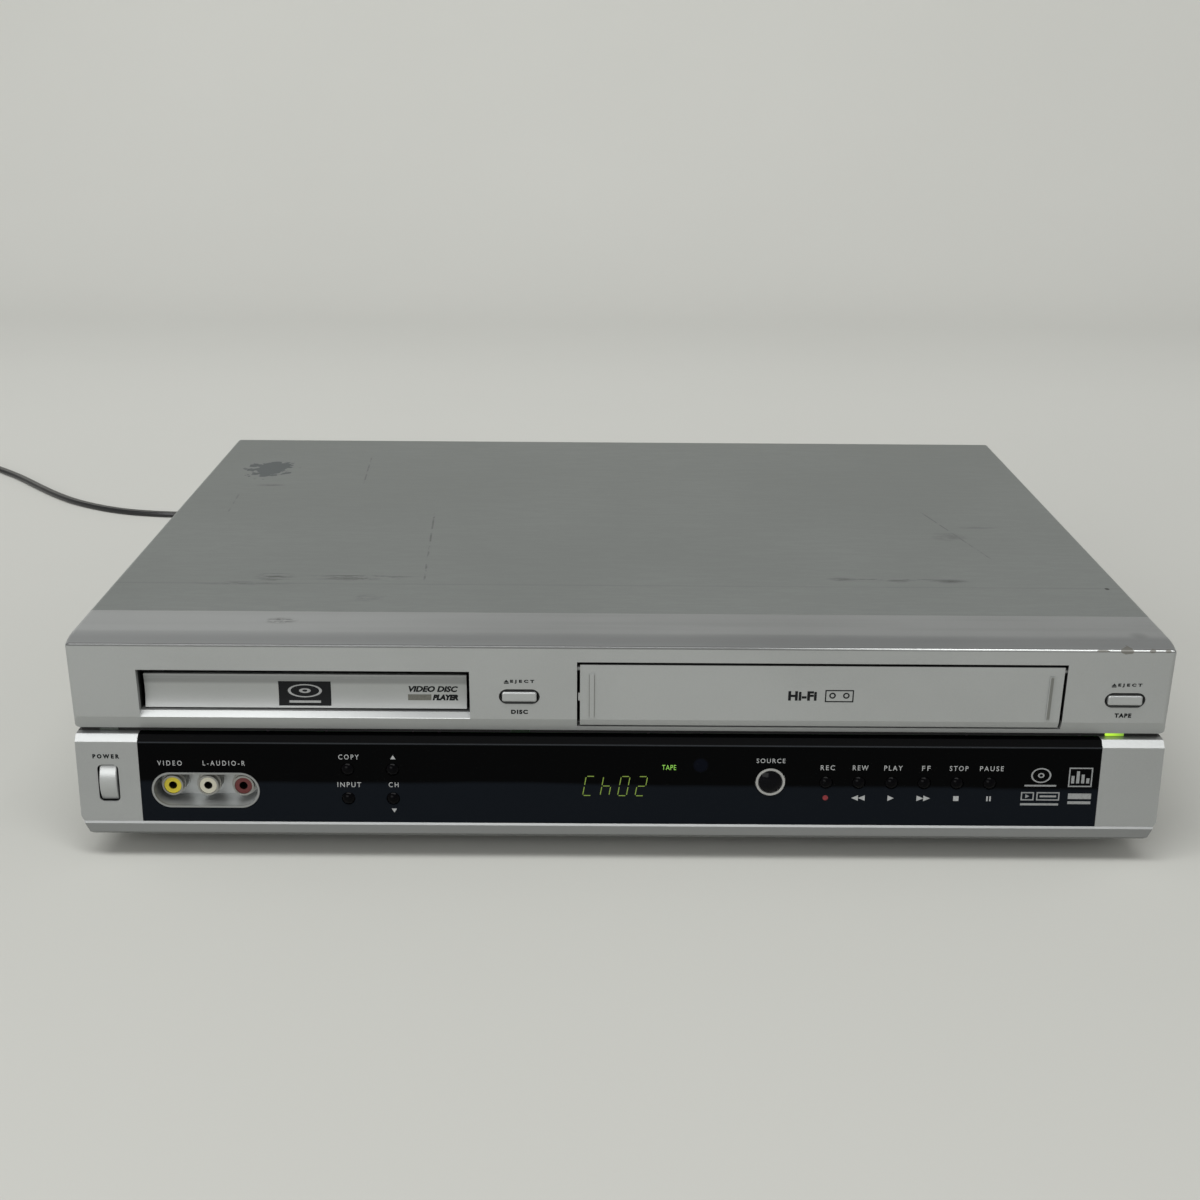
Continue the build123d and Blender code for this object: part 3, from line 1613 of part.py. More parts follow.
def pinch_roller():
    x, depth, angle, reach = pinch_rest_place()
    low = deck_top_z + pinch_arm_lift + pinch_arm_thickness + slide_gap
    high = (low, low + pinch_roller_height)
    roller = post(x, depth, high, pinch_roller_radius)
    return roller - post(x, depth, (low - overrun, high[1] + overrun), pinch_pin_radius + bearing_gap)


def loader_frame():
    """The loader's moulded frame: walls, tray runners, floor, clamp bridge and legs."""
    inner = tray_half_width + slide_gap
    outer = loader_half_width
    deep = (loader_front_depth, loader_rear_depth)
    frame = block(span(tray_x, 2 * outer), deep, (loader_bottom_z, loader_floor_z))
    frame -= block(
        span(tray_x, 2 * bay_half_width),
        (bay_front_depth, bay_rear_depth),
        (loader_bottom_z - overrun, loader_floor_z + overrun),
    )
    rib_low = (tray_bottom_z - slide_gap - loader_rib_height, tray_bottom_z - slide_gap)
    rib_high = (tray_top_z + slide_gap, tray_top_z + slide_gap + loader_rib_height)
    pin_x = traverse_half_width + traverse_pin_reach
    for side in (-1, 1):
        wall = sorted((tray_x + side * inner, tray_x + side * outer))
        frame += block(wall, deep, (loader_bottom_z, loader_top_z))
        rib = sorted((tray_x + side * inner, tray_x + side * (inner - loader_rib_width)))
        frame += block(rib, deep, rib_low) + block(rib, deep, rib_high)
        leg_x = tray_x + side * (outer - loader_leg_size / 2)
        for depth in (deep[0] + loader_leg_inset, deep[1] - loader_leg_inset):
            frame += block(
                span(leg_x, loader_leg_size),
                span(depth, loader_leg_size),
                (base_top_z, loader_floor_z),
            )
        ear = span(tray_x + side * pin_x, 2 * traverse_ear_wall)
        ear_deep = span(traverse_pin_depth, 4 * traverse_pin_radius)
        ear_top = traverse_top_z + 2 * traverse_pin_radius
        frame += block(ear, ear_deep, (loader_bottom_z, ear_top))
    bridge = span(spindle_depth, 2 * bridge_half_length)
    frame += block(span(tray_x, 2 * outer), bridge, (loader_top_z, bridge_top_z))
    hole = (loader_top_z - overrun, bridge_top_z + overrun)
    frame -= post(tray_x, spindle_depth, hole, bridge_hole_radius)
    frame += post(gear_x, gear_depth, (loader_bottom_z, gear_top_z - slide_gap), gear_post_radius)
    pin = rod_across(
        span(tray_x, 2 * (pin_x + slide_gap)),
        traverse_pin_depth,
        traverse_z + traverse_thickness / 2,
        traverse_pin_radius + seat_gap,
    )
    return frame - pin


def rack_tooth():
    """One straight-sided rack tooth, drawn across X and along Y, tip to the right."""
    lean = tan(radians(pressure_angle))
    half = pi * gear_module / 4 - gear_backlash / 2
    tip = gear_module - gear_tip_clear
    root = gear_module + gear_tip_clear
    return Polygon(
        (-root - gear_tip_clear, -half - lean * root),
        (-root, -half - lean * root),
        (tip, -half + lean * tip),
        (tip, half - lean * tip),
        (-root, half + lean * root),
        (-root - gear_tip_clear, half + lean * root),
        align=None,
    )


def tray_rack():
    """The rack under the tray's left edge, in step with the pinion's teeth."""
    pitch = pi * gear_module
    back = rack_x - gear_module - gear_tip_clear
    high = (tray_bottom_z - rack_height, tray_bottom_z)
    ahead = 2
    count = int(tray_travel / pitch) + 2 * ahead
    first = gear_depth - ahead * pitch
    strip_end = first + count * pitch
    rack = block((back - rack_back, back), (first - pitch, strip_end), high)
    for step in range(count):
        place = Pos(rack_x, y_at(first + step * pitch), high[0])
        rack += extrude(place * rack_tooth(), amount=rack_height, dir=(0, 0, 1))
    return rack


def disc_tray():
    """The tray with its stepped disc wells, pickup slot and rack."""
    deep = (tray_front_depth + tray_front_thickness, tray_rear_depth)
    tray = block(span(tray_x, 2 * tray_half_width), deep, (tray_bottom_z, tray_top_z))
    tray -= post(tray_x, spindle_depth, (well_floor_z, tray_top_z + overrun), disc_well_radius)
    small = (well_floor_z - small_well_depth, tray_top_z)
    tray -= post(tray_x, spindle_depth, small, small_well_radius)
    through = (tray_bottom_z - overrun, tray_top_z + overrun)
    tray -= post(tray_x, spindle_depth, through, hub_hole_radius)
    slot_end = spindle_depth + disc_well_radius + pickup_lens_radius
    tray -= block(span(tray_x, pickup_slot_width), (spindle_depth, slot_end), through)
    return tray + tray_rack()


def tray_front():
    """The tray's front trim: a flat lip over a hollowed face."""
    top = tray_front_z + tray_front_height
    lip_z = top - tray_front_lip
    front = tray_front_depth
    back = front + tray_front_thickness
    hollow = ThreePointArc(
        (front, lip_z),
        (front + tray_front_scoop, (tray_front_z + lip_z) / 2),
        (front, tray_front_z),
    )
    sides = ((front, tray_front_z), (back, tray_front_z), (back, top), (front, top), (front, lip_z))
    body = Polyline(*sides)
    width = tray_slot_width - 2 * tray_side_gap
    return profile_across(make_face(hollow.edges() + body.edges()), span(tray_x, width))


def gear_flank(radius):
    """Half the angle that a pinion tooth fills at this radius."""
    base = gear_radius * cos(radians(pressure_angle))

    def involute(at):
        turn = max((at / base) ** 2 - 1, 0) ** 0.5
        return turn - atan2(turn, 1)

    at_pitch = pi / (2 * gear_teeth) - gear_backlash / (2 * gear_radius)
    return at_pitch + involute(gear_radius) - involute(max(radius, base))


def tray_gear():
    """The pinion that drives the tray, on a hub that turns on the frame's post."""
    root = gear_radius - gear_module - gear_tip_clear
    tip = gear_radius + gear_module - gear_tip_clear
    heights = (root, gear_radius - gear_module / 2, gear_radius, gear_radius + gear_module / 2, tip)
    points = []
    pitch = 2 * pi / gear_teeth
    for tooth in range(gear_teeth):
        middle = pi + (tooth + 0.5) * pitch
        points += [(r * cos(middle - gear_flank(r)), r * sin(middle - gear_flank(r))) for r in heights]
        way_down = reversed(heights)
        points += [(r * cos(middle + gear_flank(r)), r * sin(middle + gear_flank(r))) for r in way_down]
    place = Pos(gear_x, y_at(gear_depth), gear_top_z - gear_thickness)
    gear = extrude(place * Polygon(*points, align=None), amount=gear_thickness, dir=(0, 0, 1))
    gear += post(gear_x, gear_depth, (loader_floor_z + slide_gap, gear_top_z), gear_hub_radius)
    bore = (loader_floor_z, gear_top_z + overrun)
    return gear - post(gear_x, gear_depth, bore, gear_post_radius + bearing_gap)


def disc_clamp():
    """The clamp puck that hangs in the bridge by its flange."""
    flange = (bridge_top_z + clamp_lift, bridge_top_z + clamp_lift + clamp_flange_thickness)
    low = flange[0] - clamp_length
    clamp = post(tray_x, spindle_depth, (low, flange[1]), clamp_radius)
    clamp += post(tray_x, spindle_depth, flange, clamp_flange_radius)
    recess = (low - overrun, low + clamp_recess_depth)
    return clamp - post(tray_x, spindle_depth, recess, clamp_recess_radius)


def lowered(shape):
    """A piece of the traverse, tipped down about its rear pins so that the tray can pass."""
    pins = Pos(0, y_at(traverse_pin_depth), traverse_z + traverse_thickness / 2)
    return pins * Rot(traverse_tilt, 0, 0) * pins.inverse() * shape


def rod_places():
    return [tray_x - rod_spacing / 2, tray_x + rod_spacing / 2]


def traverse():
    """The tilting sub-frame with the spindle motor, guide rods and rear pins."""
    deep = (traverse_front_depth, traverse_rear_depth)
    plate = block(span(tray_x, 2 * traverse_half_width), deep, (traverse_z, traverse_top_z))
    window = (traverse_window_depth, traverse_window_depth + traverse_window_length)
    through = (traverse_z - overrun, traverse_top_z + overrun)
    plate -= block(span(tray_x, traverse_window_width), window, through)
    motor_top = traverse_top_z + spindle_motor_height
    plate += post(tray_x, spindle_depth, (traverse_z, motor_top), spindle_motor_radius)
    bore = (traverse_z - overrun, motor_top + overrun)
    plate -= post(tray_x, spindle_depth, bore, spindle_shaft_radius + bearing_gap)
    rod_z = traverse_top_z + rod_rise
    for x in rod_places():
        ends = (window[0] - rod_block_length, window[1] + rod_block_length)
        for end in (span(ends[0], rod_block_length), span(ends[1], rod_block_length)):
            plate += block(span(x, rod_block_width), end, (traverse_z, rod_z + rod_radius))
        plate += rod_back(x, rod_z, ends, rod_radius)
    pin_x = traverse_half_width + traverse_pin_reach
    for side in (-1, 1):
        pin_root = traverse_half_width - traverse_pin_reach
        pin = sorted((tray_x + side * pin_root, tray_x + side * pin_x))
        middle = traverse_z + traverse_thickness / 2
        plate += rod_across(pin, traverse_pin_depth, middle, traverse_pin_radius)
    return lowered(plate)


def disc_turntable():
    """The table and centring hub that the disc sits on, with its shaft."""
    seat = well_floor_z + turntable_lift
    low = seat - turntable_thickness
    table = post(tray_x, spindle_depth, (low, seat), turntable_radius)
    align = (Align.CENTER, Align.CENTER, Align.MIN)
    hub = Cone(turntable_hub_radius, turntable_hub_tip_radius, turntable_hub_height, align=align)
    table += Pos(tray_x, y_at(spindle_depth), seat) * hub
    return lowered(table + post(tray_x, spindle_depth, (traverse_z, seat), spindle_shaft_radius))


def optical_pickup():
    """The laser sled on its two rods, with its lens."""
    rod_z = traverse_top_z + rod_rise
    deep = span(pickup_start_depth + pickup_length / 2, pickup_length)
    low = rod_z - pickup_height / 2
    body = block(span(tray_x, pickup_width), deep, (low, low + pickup_height))
    for x in rod_places():
        body += block(span(x, pickup_ear_width), deep, (low, low + pickup_height))
        body -= rod_back(x, rod_z, (deep[0] - overrun, deep[1] + overrun), rod_radius + bearing_gap)
    middle = (deep[0] + deep[1]) / 2
    lens = (low + pickup_height, low + pickup_height + pickup_lens_height)
    return lowered(body + post(tray_x, middle, lens, pickup_lens_radius))


def pieces():
    """Every piece of the machine by its name."""
    video_x, left_x, right_x = jack_places()
    parts = {
        "base_chassis": base_chassis(),
        "top_cover": top_cover(),
        "rear_panel": rear_panel(),
        "front_panel": front_panel(),
        "display_window": display_window(),
        "jack_plate": jack_plate(),
        "front_jack_shells": Compound(children=[jack_shell(x) for x in jack_places()]),
        "video_jack_insert": jack_insert(video_x),
        "audio_left_jack_insert": jack_insert(left_x),
        "audio_right_jack_insert": jack_insert(right_x),
        "lamp_lenses": lamp_lenses(),
        "display_module": display_module(),
        "front_board": front_board(),
        "rubber_feet": rubber_feet(),
        "cover_screws": cover_screws(),
        "main_board": main_board(),
        "power_supply": power_supply(),
        "rear_jack_block": rear_jack_block(),
        "rear_jack_shells": rear_jack_shells(),
        "antenna_tuner": antenna_tuner(),
        "strain_relief": strain_relief(),
        "power_cord": power_cord(),
        "cord_coil": cord_coil(),
        "cord_tie": cord_tie(),
        "power_plug": power_plug(),
        "plug_blades": plug_blades(),
        "cassette_door": cassette_door(),
        "deck_chassis": deck_chassis(),
        "carriage_brackets": carriage_brackets(),
        "carriage": carriage(),
        "cassette_holder": cassette_holder(),
        "drum_base": drum_base(),
        "head_drum": head_drum(),
        "supply_reel": reel(-1),
        "take_up_reel": reel(1),
        "capstan": capstan(),
        "pinch_arm": pinch_arm(),
        "pinch_roller": pinch_roller(),
        "loader_frame": loader_frame(),
        "disc_tray": disc_tray(),
        "tray_front": tray_front(),
        "tray_gear": tray_gear(),
        "disc_clamp": disc_clamp(),
        "traverse": traverse(),
        "disc_turntable": disc_turntable(),
        "optical_pickup": optical_pickup(),
        "power_button": power_button(),
        "disc_eject_button": eject_button(disc_eject_x),
        "tape_eject_button": eject_button(tape_eject_x),
        "source_button": source_button(),
    }
    for name, x, z in small_buttons():
        parts[name] = round_button(x, z)
    return parts


os.makedirs("parts", exist_ok=True)
for name, shape in pieces().items():
    export_step(shape, f"parts/{name}.step")
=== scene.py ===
"""Looks of a combined disc player and video cassette recorder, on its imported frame.

Blender's lengths are in metres. Named sizes and places are in millimetres, unless a comment on them
says metres. X runs to the right, Y to the back and Z up, with the origin on the floor.
"""
import json
from math import cos, pi, radians, sin

import bpy
from mathutils import Matrix, Vector
from mathutils.bvhtree import BVHTree


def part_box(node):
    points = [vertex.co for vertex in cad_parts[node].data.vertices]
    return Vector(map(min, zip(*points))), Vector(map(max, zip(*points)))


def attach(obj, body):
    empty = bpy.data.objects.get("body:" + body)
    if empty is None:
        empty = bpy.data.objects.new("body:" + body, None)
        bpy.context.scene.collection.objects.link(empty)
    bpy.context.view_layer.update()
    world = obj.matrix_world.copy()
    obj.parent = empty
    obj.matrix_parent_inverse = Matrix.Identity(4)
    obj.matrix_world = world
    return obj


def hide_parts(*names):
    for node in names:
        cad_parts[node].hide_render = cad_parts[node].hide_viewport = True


MM = 0.001
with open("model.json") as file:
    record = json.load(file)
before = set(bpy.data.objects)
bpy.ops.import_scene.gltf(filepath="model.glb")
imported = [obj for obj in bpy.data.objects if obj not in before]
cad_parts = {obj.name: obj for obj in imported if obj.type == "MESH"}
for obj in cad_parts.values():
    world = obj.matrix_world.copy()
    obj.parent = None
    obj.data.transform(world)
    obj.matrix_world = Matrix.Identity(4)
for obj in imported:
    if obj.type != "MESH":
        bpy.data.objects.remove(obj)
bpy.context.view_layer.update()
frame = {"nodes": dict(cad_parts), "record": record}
nodes = frame["nodes"]

# The front's ridge, from which depths are measured backwards
WINDOW_SETBACK = 2.6
window_low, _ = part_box("display_window")
ridge_y = window_low.y - WINDOW_SETBACK * MM


def at(x, depth, z):
    """A place from its X, its depth behind the ridge and its height, in millimetres."""
    return Vector((x * MM, ridge_y + depth * MM, z * MM))


def middle_of(node):
    """A node's middle across and in height, in millimetres."""
    low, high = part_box(node)
    middle = (low + high) / 2 / MM
    return middle.x, middle.z


class Shade:
    """A node's output, on which sums are written as on plain numbers."""

    def __init__(self, shading, socket):
        self.shading = shading
        self.socket = socket

    def maths(self, operation, *values):
        """Adds a node for one step of a sum."""
        return self.shading.node("ShaderNodeMath", {"operation": operation}, dict(enumerate(values)))

    def __add__(self, other):
        return self.maths("ADD", self, other)

    def __radd__(self, other):
        return self.maths("ADD", other, self)

    def __sub__(self, other):
        return self.maths("SUBTRACT", self, other)

    def __rsub__(self, other):
        return self.maths("SUBTRACT", other, self)

    def __mul__(self, other):
        return self.maths("MULTIPLY", self, other)

    def __rmul__(self, other):
        return self.maths("MULTIPLY", other, self)

    def __or__(self, other):
        """The larger of the two."""
        return self.maths("MAXIMUM", self, other)

    def __abs__(self):
        return self.maths("ABSOLUTE", self)


class Shading:
    """A tree of shader nodes."""

    def __init__(self, tree):
        self.tree = tree

    def node(self, kind, settings=(), sockets=(), output=0):
        """Adds a node: its settings first, then the values or links of its sockets."""
        node = self.tree.nodes.new(kind)
        for label, value in dict(settings).items():
            setattr(node, label, value)
        for label, value in dict(sockets).items():
            self.feed(node.inputs[label], value)
        return Shade(self, node.outputs[output])

    def feed(self, socket, value):
        """Links a socket, or sets it to a plain value."""
        if isinstance(value, Shade):
            self.tree.links.new(value.socket, socket)
        else:
            socket.default_value = value

    def ramp(self, value, start, end):
        """0 below start and 1 above end, or the other way round, with soft ends."""
        sockets = {0: value, 1: start, 2: end}
        return self.node("ShaderNodeMapRange", {"interpolation_type": "SMOOTHSTEP"}, sockets)

    def mix(self, share, first, second):
        """The first colour, and the second where the share is 1."""
        sockets = {0: share, 6: first, 7: second}
        return self.node("ShaderNodeMix", {"data_type": "RGBA"}, sockets, 2)


class Finish(Shading):
    """A material: its nodes, the surface shader that they feed, and its colour so far."""

    BLOT_DETAIL = 4.0
    BLOT_CORE = 0.86

    def __init__(self, name, **constants):
        self.name = name
        self.material = bpy.data.materials.new(name)
        self.material.use_nodes = True
        super().__init__(self.material.node_tree)
        self.surface = self.tree.nodes["Principled BSDF"]
        self.set(**constants)
        self.place = self.node("ShaderNodeTexCoord", output="Object")
        self.base = None

    def set(self, **links):
        """Feeds the surface's own sockets."""
        for label, value in links.items():
            self.feed(self.surface.inputs[label.replace("_", " ")], value)

    def coat(self, share, color):
        """Lays a colour over the one so far, where the share is 1."""
        self.base = self.mix(share, self.base, color)

    def bump(self, height, depth, strength):
        """Raises the surface where the height is 1, by a depth in millimetres."""
        sockets = {"Height": height, "Distance": depth * MM, "Strength": strength}
        self.set(Normal=self.node("ShaderNodeBump", (), sockets))

    def axis(self, which):
        return self.node("ShaderNodeSeparateXYZ", (), {0: self.place}, which)

    def depth(self):
        """How far a point lies behind the ridge."""
        return self.axis("Y") - ridge_y

    def moved(self, middle=(0, 0, 0), scale=(1, 1, 1)):
        """Object coordinates about another middle, scaled along each axis."""
        sockets = {0: self.place, 1: middle}
        shifted = self.node("ShaderNodeVectorMath", {"operation": "SUBTRACT"}, sockets)
        return self.node("ShaderNodeMapping", (), {"Vector": shifted, "Scale": scale})

    def noise(self, scale, detail, stretch=(1, 1, 1), roughness=0.5):
        """Clouds about 0.5, drawn out along an axis whose stretch is below 1."""
        sockets = {
            "Vector": self.moved(scale=stretch),
            "Scale": scale,
            "Detail": detail,
            "Roughness": roughness,
        }
        return self.node("ShaderNodeTexNoise", (), sockets)

    def rise(self, value, start, end):
        """A ramp between two lengths in millimetres."""
        return self.ramp(value, start * MM, end * MM)

    def within(self, value, low, high, soft):
        """1 between two lengths in millimetres, with soft ends."""
        return self.rise(value, low - soft, low) * self.rise(value, high + soft, high)

    def distance(self, middle, scale):
        """How far a point is from a middle, scaled along each axis."""
        away = self.moved(middle, scale)
        return self.node("ShaderNodeVectorMath", {"operation": "LENGTH"}, {0: away}, "Value")

    def reached(self, middle, reach):
        """How far a point is from a middle, in multiples of a reach in millimetres."""
        return self.distance(middle, tuple(1 / (size * MM) for size in reach))

    def spot(self, middle, reach, soft):
        """1 inside an ellipsoid and 0 outside it."""
        return self.ramp(self.reached(middle, reach), 1.0, 1.0 - soft)

    def blot(self, middle, reach, ragged, scale):
        """A solid spot with a ragged edge."""
        edge = self.noise(scale, self.BLOT_DETAIL) - 0.5
        return self.ramp(self.reached(middle, reach) + ragged * edge, 1.0, self.BLOT_CORE)


# Between which levels clouds of noise are spread from 0 to 1
CLOUDY = 0.3, 0.7


def tone(red, green, blue):
    return (red, green, blue, 1.0)


def shaded(color, share):
    """A colour made darker or lighter, up to full light."""
    return tone(*(min(1.0, share * level) for level in color[:3]))


def grey(level, tint=0.0):
    """A grey that turns bluer with its tint, or yellower where that is negative."""
    return tone(level, level * (1 + tint / 2), level * (1 + tint))


def silver(level):
    """The paint's slightly green grey."""
    return tone(level * 0.968, level, level * 0.99)


def moulded(name, color, roughness, **constants):
    """Plain moulded plastic: a fine skin, and slight changes of shade and gloss."""
    finish = Finish(name, **constants)
    cloud = finish.noise(35.0, 3.0)
    skin = finish.noise(900.0, 2.0)
    finish.base = finish.mix(finish.ramp(cloud, *CLOUDY), shaded(color, 0.93), shaded(color, 1.06))
    finish.set(Base_Color=finish.base, Roughness=roughness - 0.06 + 0.12 * cloud)
    finish.bump(skin, 0.02, 0.5)
    return finish


def bare_metal(name, color, roughness, stretch=(1, 1, 1), scale=260.0):
    """Plated or drawn metal, streaked along one way."""
    finish = Finish(name, Metallic=1.0)
    streak = finish.noise(scale, 3.0, stretch)
    cloud = finish.noise(30.0, 3.0)
    blend = finish.ramp(streak * 0.6 + cloud * 0.4, *CLOUDY)
    finish.base = finish.mix(blend, shaded(color, 0.8), color)
    finish.set(Base_Color=finish.base, Roughness=roughness - 0.06 + 0.12 * cloud + 0.08 * streak)
    finish.bump(streak, 0.01, 0.4)
    return finish


# Scuffs on the cover: X, depth, reach across and along, and strength
COVER_SCUFFS = (
    (-110, 84, 30, 1.8, 1.0),
    (118, 84, 32, 1.6, 0.9),
    (-148, 82, 11, 9, 0.9),
    (-110, 81, 28, 5, 0.9),
    (-105, 54, 14, 7, 0.4),
    (-160, 73, 30, 4, 0.5),
    (96, 84, 9, 4, 0.7),
    (120, 82, 7, 3, 0.7),
    (142, 82, 11, 4, 0.9),
    (155, 152, 12, 10, 0.5),
    (172, 168, 14, 3, 0.4),
    (-178, 241, 11, 3, 0.6),
)
# Scratches on the cover: X and depth of the rear and the front end, and strength
COVER_SCRATCHES = (
    (-88.3, 181, -83.7, 85, 0.7),
    (-133.2, 300, -130.4, 247, 0.5),
    (-190.5, 222, -188.9, 184, 0.4),
    (151.1, 190, 166.0, 122, 0.5),
)
# Other places on the cover, and the edges of its marks
COVER_TOP = 94
MARK_TALL = 20
WORN_PATCH, PATCH_REACH = (-184, 276, COVER_TOP), (11.5, 18.5, MARK_TALL)
DARK_SPECK, SPECK_REACH = (207.4, 72.5, COVER_TOP), (1.2, 1.6, 10)
COVER_BEND, BEND_SOFT = (72.6, 73.2), 0.8
SCRATCH_SIDE, SCRATCH_END = (0.7, 0.1), 9


def cover_paint():
    """Silver-grey paint on steel: fine flakes, scuffs and scratches, and a worn patch at the rear."""
    finish = Finish("cover_paint", Metallic=0.5)
    across, depth = finish.axis("X"), finish.depth()
    flake = finish.noise(2600.0, 1.0)
    cloud = finish.noise(9.0, 4.0)
    strokes = finish.noise(420.0, 5.0, stretch=(0.18, 1, 1), roughness=0.7)
    dashes = finish.noise(160.0, 3.0, stretch=(1, 0.5, 1), roughness=0.6)
    dull, bright = tone(0.266, 0.287, 0.276), tone(0.296, 0.318, 0.306)
    finish.base = finish.mix(finish.ramp(cloud, *CLOUDY), dull, bright)
    finish.coat(0.20 * flake, tone(0.40, 0.41, 0.40))
    patch = finish.blot(at(*WORN_PATCH), PATCH_REACH, ragged=2.0, scale=230.0)
    finish.coat(0.7 * patch, tone(0.098, 0.112, 0.118))
    speck = finish.spot(at(*DARK_SPECK), SPECK_REACH, soft=0.4)
    finish.coat(0.9 * speck, tone(0.02, 0.02, 0.02))
    bend = finish.within(depth, *COVER_BEND, BEND_SOFT)
    finish.coat(0.14 * bend, tone(0.10, 0.105, 0.10))
    scuffs = 0.0
    for x, back, wide, deep, strength in COVER_SCUFFS:
        area = finish.spot(at(x, back, COVER_TOP), (wide, deep, MARK_TALL), soft=0.9)
        scuffs = strength * area | scuffs
    marks = (scuffs | 0.12 * cloud) * finish.ramp(strokes, 0.41, 0.55)
    for x, back, end_x, front, strength in COVER_SCRATCHES:
        slope = (end_x - x) / (front - back)
        aside = abs(across - (x - slope * back) * MM - slope * depth)
        line = finish.rise(aside, *SCRATCH_SIDE) * finish.within(depth, front, back, SCRATCH_END)
        marks = strength * line * finish.ramp(dashes, 0.40, 0.56) | marks
    finish.coat(0.8 * marks, tone(0.085, 0.09, 0.085))
    finish.set(
        Base_Color=finish.base,
        Roughness=0.38 + 0.10 * cloud + 0.22 * patch + 0.12 * marks,
    )
    finish.bump(flake * 0.7 + strokes * 0.3 - bend, 0.012, 0.35)
    return finish


# The front's two faces: the upper one slopes back towards its foot, the lower one stands upright
UPPER_FACE_FOOT = 56.0
UPPER_FACE_TOP = 92.0
UPPER_FACE_SLOPE = 0.0994
LOWER_FACE_DEPTH = 2.6
FACE_CHANGE = 0.5
CREASE = 60.8

# Pieces that fill openings of the front panel, and how far behind its face the painted shade on the
# walls round them begins
MOVING_FRONTS = {
    "tray_front": 2.6,
    "cassette_door": 0.1,
    "power_button": 0.5,
    "disc_eject_button": 0.2,
    "tape_eject_button": 0.2,
}
GAP_MARGIN = 2.4
GAP_BELOW = 0.4
GAP_SOFT = 0.3
GAP_FADE = 0.5
# Near-black tone of the painted shade on the walls round moving fronts and keys
GAP_SHADE_TONE = silver(0.012)


def sunk(finish):
    """How far a point lies behind the front's upper or lower face."""
    height = finish.axis("Z")
    upper = finish.rise(height, UPPER_FACE_FOOT - FACE_CHANGE, UPPER_FACE_FOOT)
    slope = UPPER_FACE_SLOPE * (UPPER_FACE_TOP * MM - height)
    return finish.depth() - upper * slope - (1 - upper) * (LOWER_FACE_DEPTH * MM)


def shade_in_gaps_round_fronts(finish):
    """1 on the walls of the openings that the moving fronts fill, where shade is painted."""
    across, height, behind = finish.axis("X"), finish.axis("Z"), sunk(finish)
    gap_shade = 0.0
    for name, start in MOVING_FRONTS.items():
        low, high = (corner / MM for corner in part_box(name))
        foot = low.z - GAP_BELOW
        if low.z < CREASE < high.z:
            foot = CREASE + GAP_SOFT
        area = finish.within(across, low.x - GAP_MARGIN, high.x + GAP_MARGIN, GAP_SOFT)
        area = area * finish.within(height, foot, high.z + GAP_MARGIN, GAP_SOFT)
        gap_shade = area * finish.rise(behind, start, start + GAP_FADE) | gap_shade
    return gap_shade


# Zones of the front panel: between which heights, depths or places across they come or go
CROWN_HEIGHT = 91.6, 92.6
# Painted light: the crown lighter towards the left
CROWN_LIGHT_ACROSS = 20, -190
# Painted shade: the crown darker towards its front edge
BROW_SHADE_DEPTH = 14, 2
# Painted shade: the kick strip at the foot of the front darker
KICK_SHADE_HEIGHT = 16.4, 16.0
LOWER_HEIGHT = 50.5, 49.5
# Painted shade: near black deep in the groove under the upper face
GROOVE_SHADE_HEIGHT, GROOVE_SHADE_SOFT = (52.9, 55.2), 0.4
GROOVE_SHADE_DEPTH = 8.2, 8.8
# Painted shade: a dark line on the front of the ridge
RIDGE_SHADE_HEIGHT = 91.1, 91.4
RIDGE_SHADE_DEPTH = 1.0, 0.6
# Painted highlight: a bright line along the ridge's right part
RIDGE_HIGHLIGHT_ACROSS = 40, 150
RIDGE_HIGHLIGHT_HEIGHT = 91.5, 91.7
RIDGE_HIGHLIGHT_DEPTH = 0.5, 0.3
# Painted shade: the ledge under the tray darker towards its right end
SILL_SHADE_HEIGHT, SILL_SHADE_SOFT = (60.9, 62.9), 0.2
SILL_SHADE_LEFT = -150, -62
SILL_SHADE_RIGHT = -56.5, -57.5
SILL_SHADE_DEPTH = 3.2, 3.4
CROWN_SCRIBBLE, SCRIBBLE_REACH = (-135.5, 24, 94), (8, 4.5, 10)
CROWN_SMEAR, SMEAR_REACH = (203, 12, 93), (5, 5, 10)
# Chips in the paint along the ridge: where they are across, and how long and high
RIDGE_CHIPS = ((186.0, 2.6, 0.5), (195.6, 2.6, 1.3), (205.3, 1.3, 0.8), (211.2, 1.3, 0.7))
CHIP_DEPTH, CHIP_HEIGHT, CHIP_DEEP = 0.2, 91.7, 10
# How deep the grain of the paint is, and how bright it is on the panels and the door
PAINT_GRAIN = 0.012
PANEL_LEVEL = 0.385
DOOR_LEVEL = 0.39


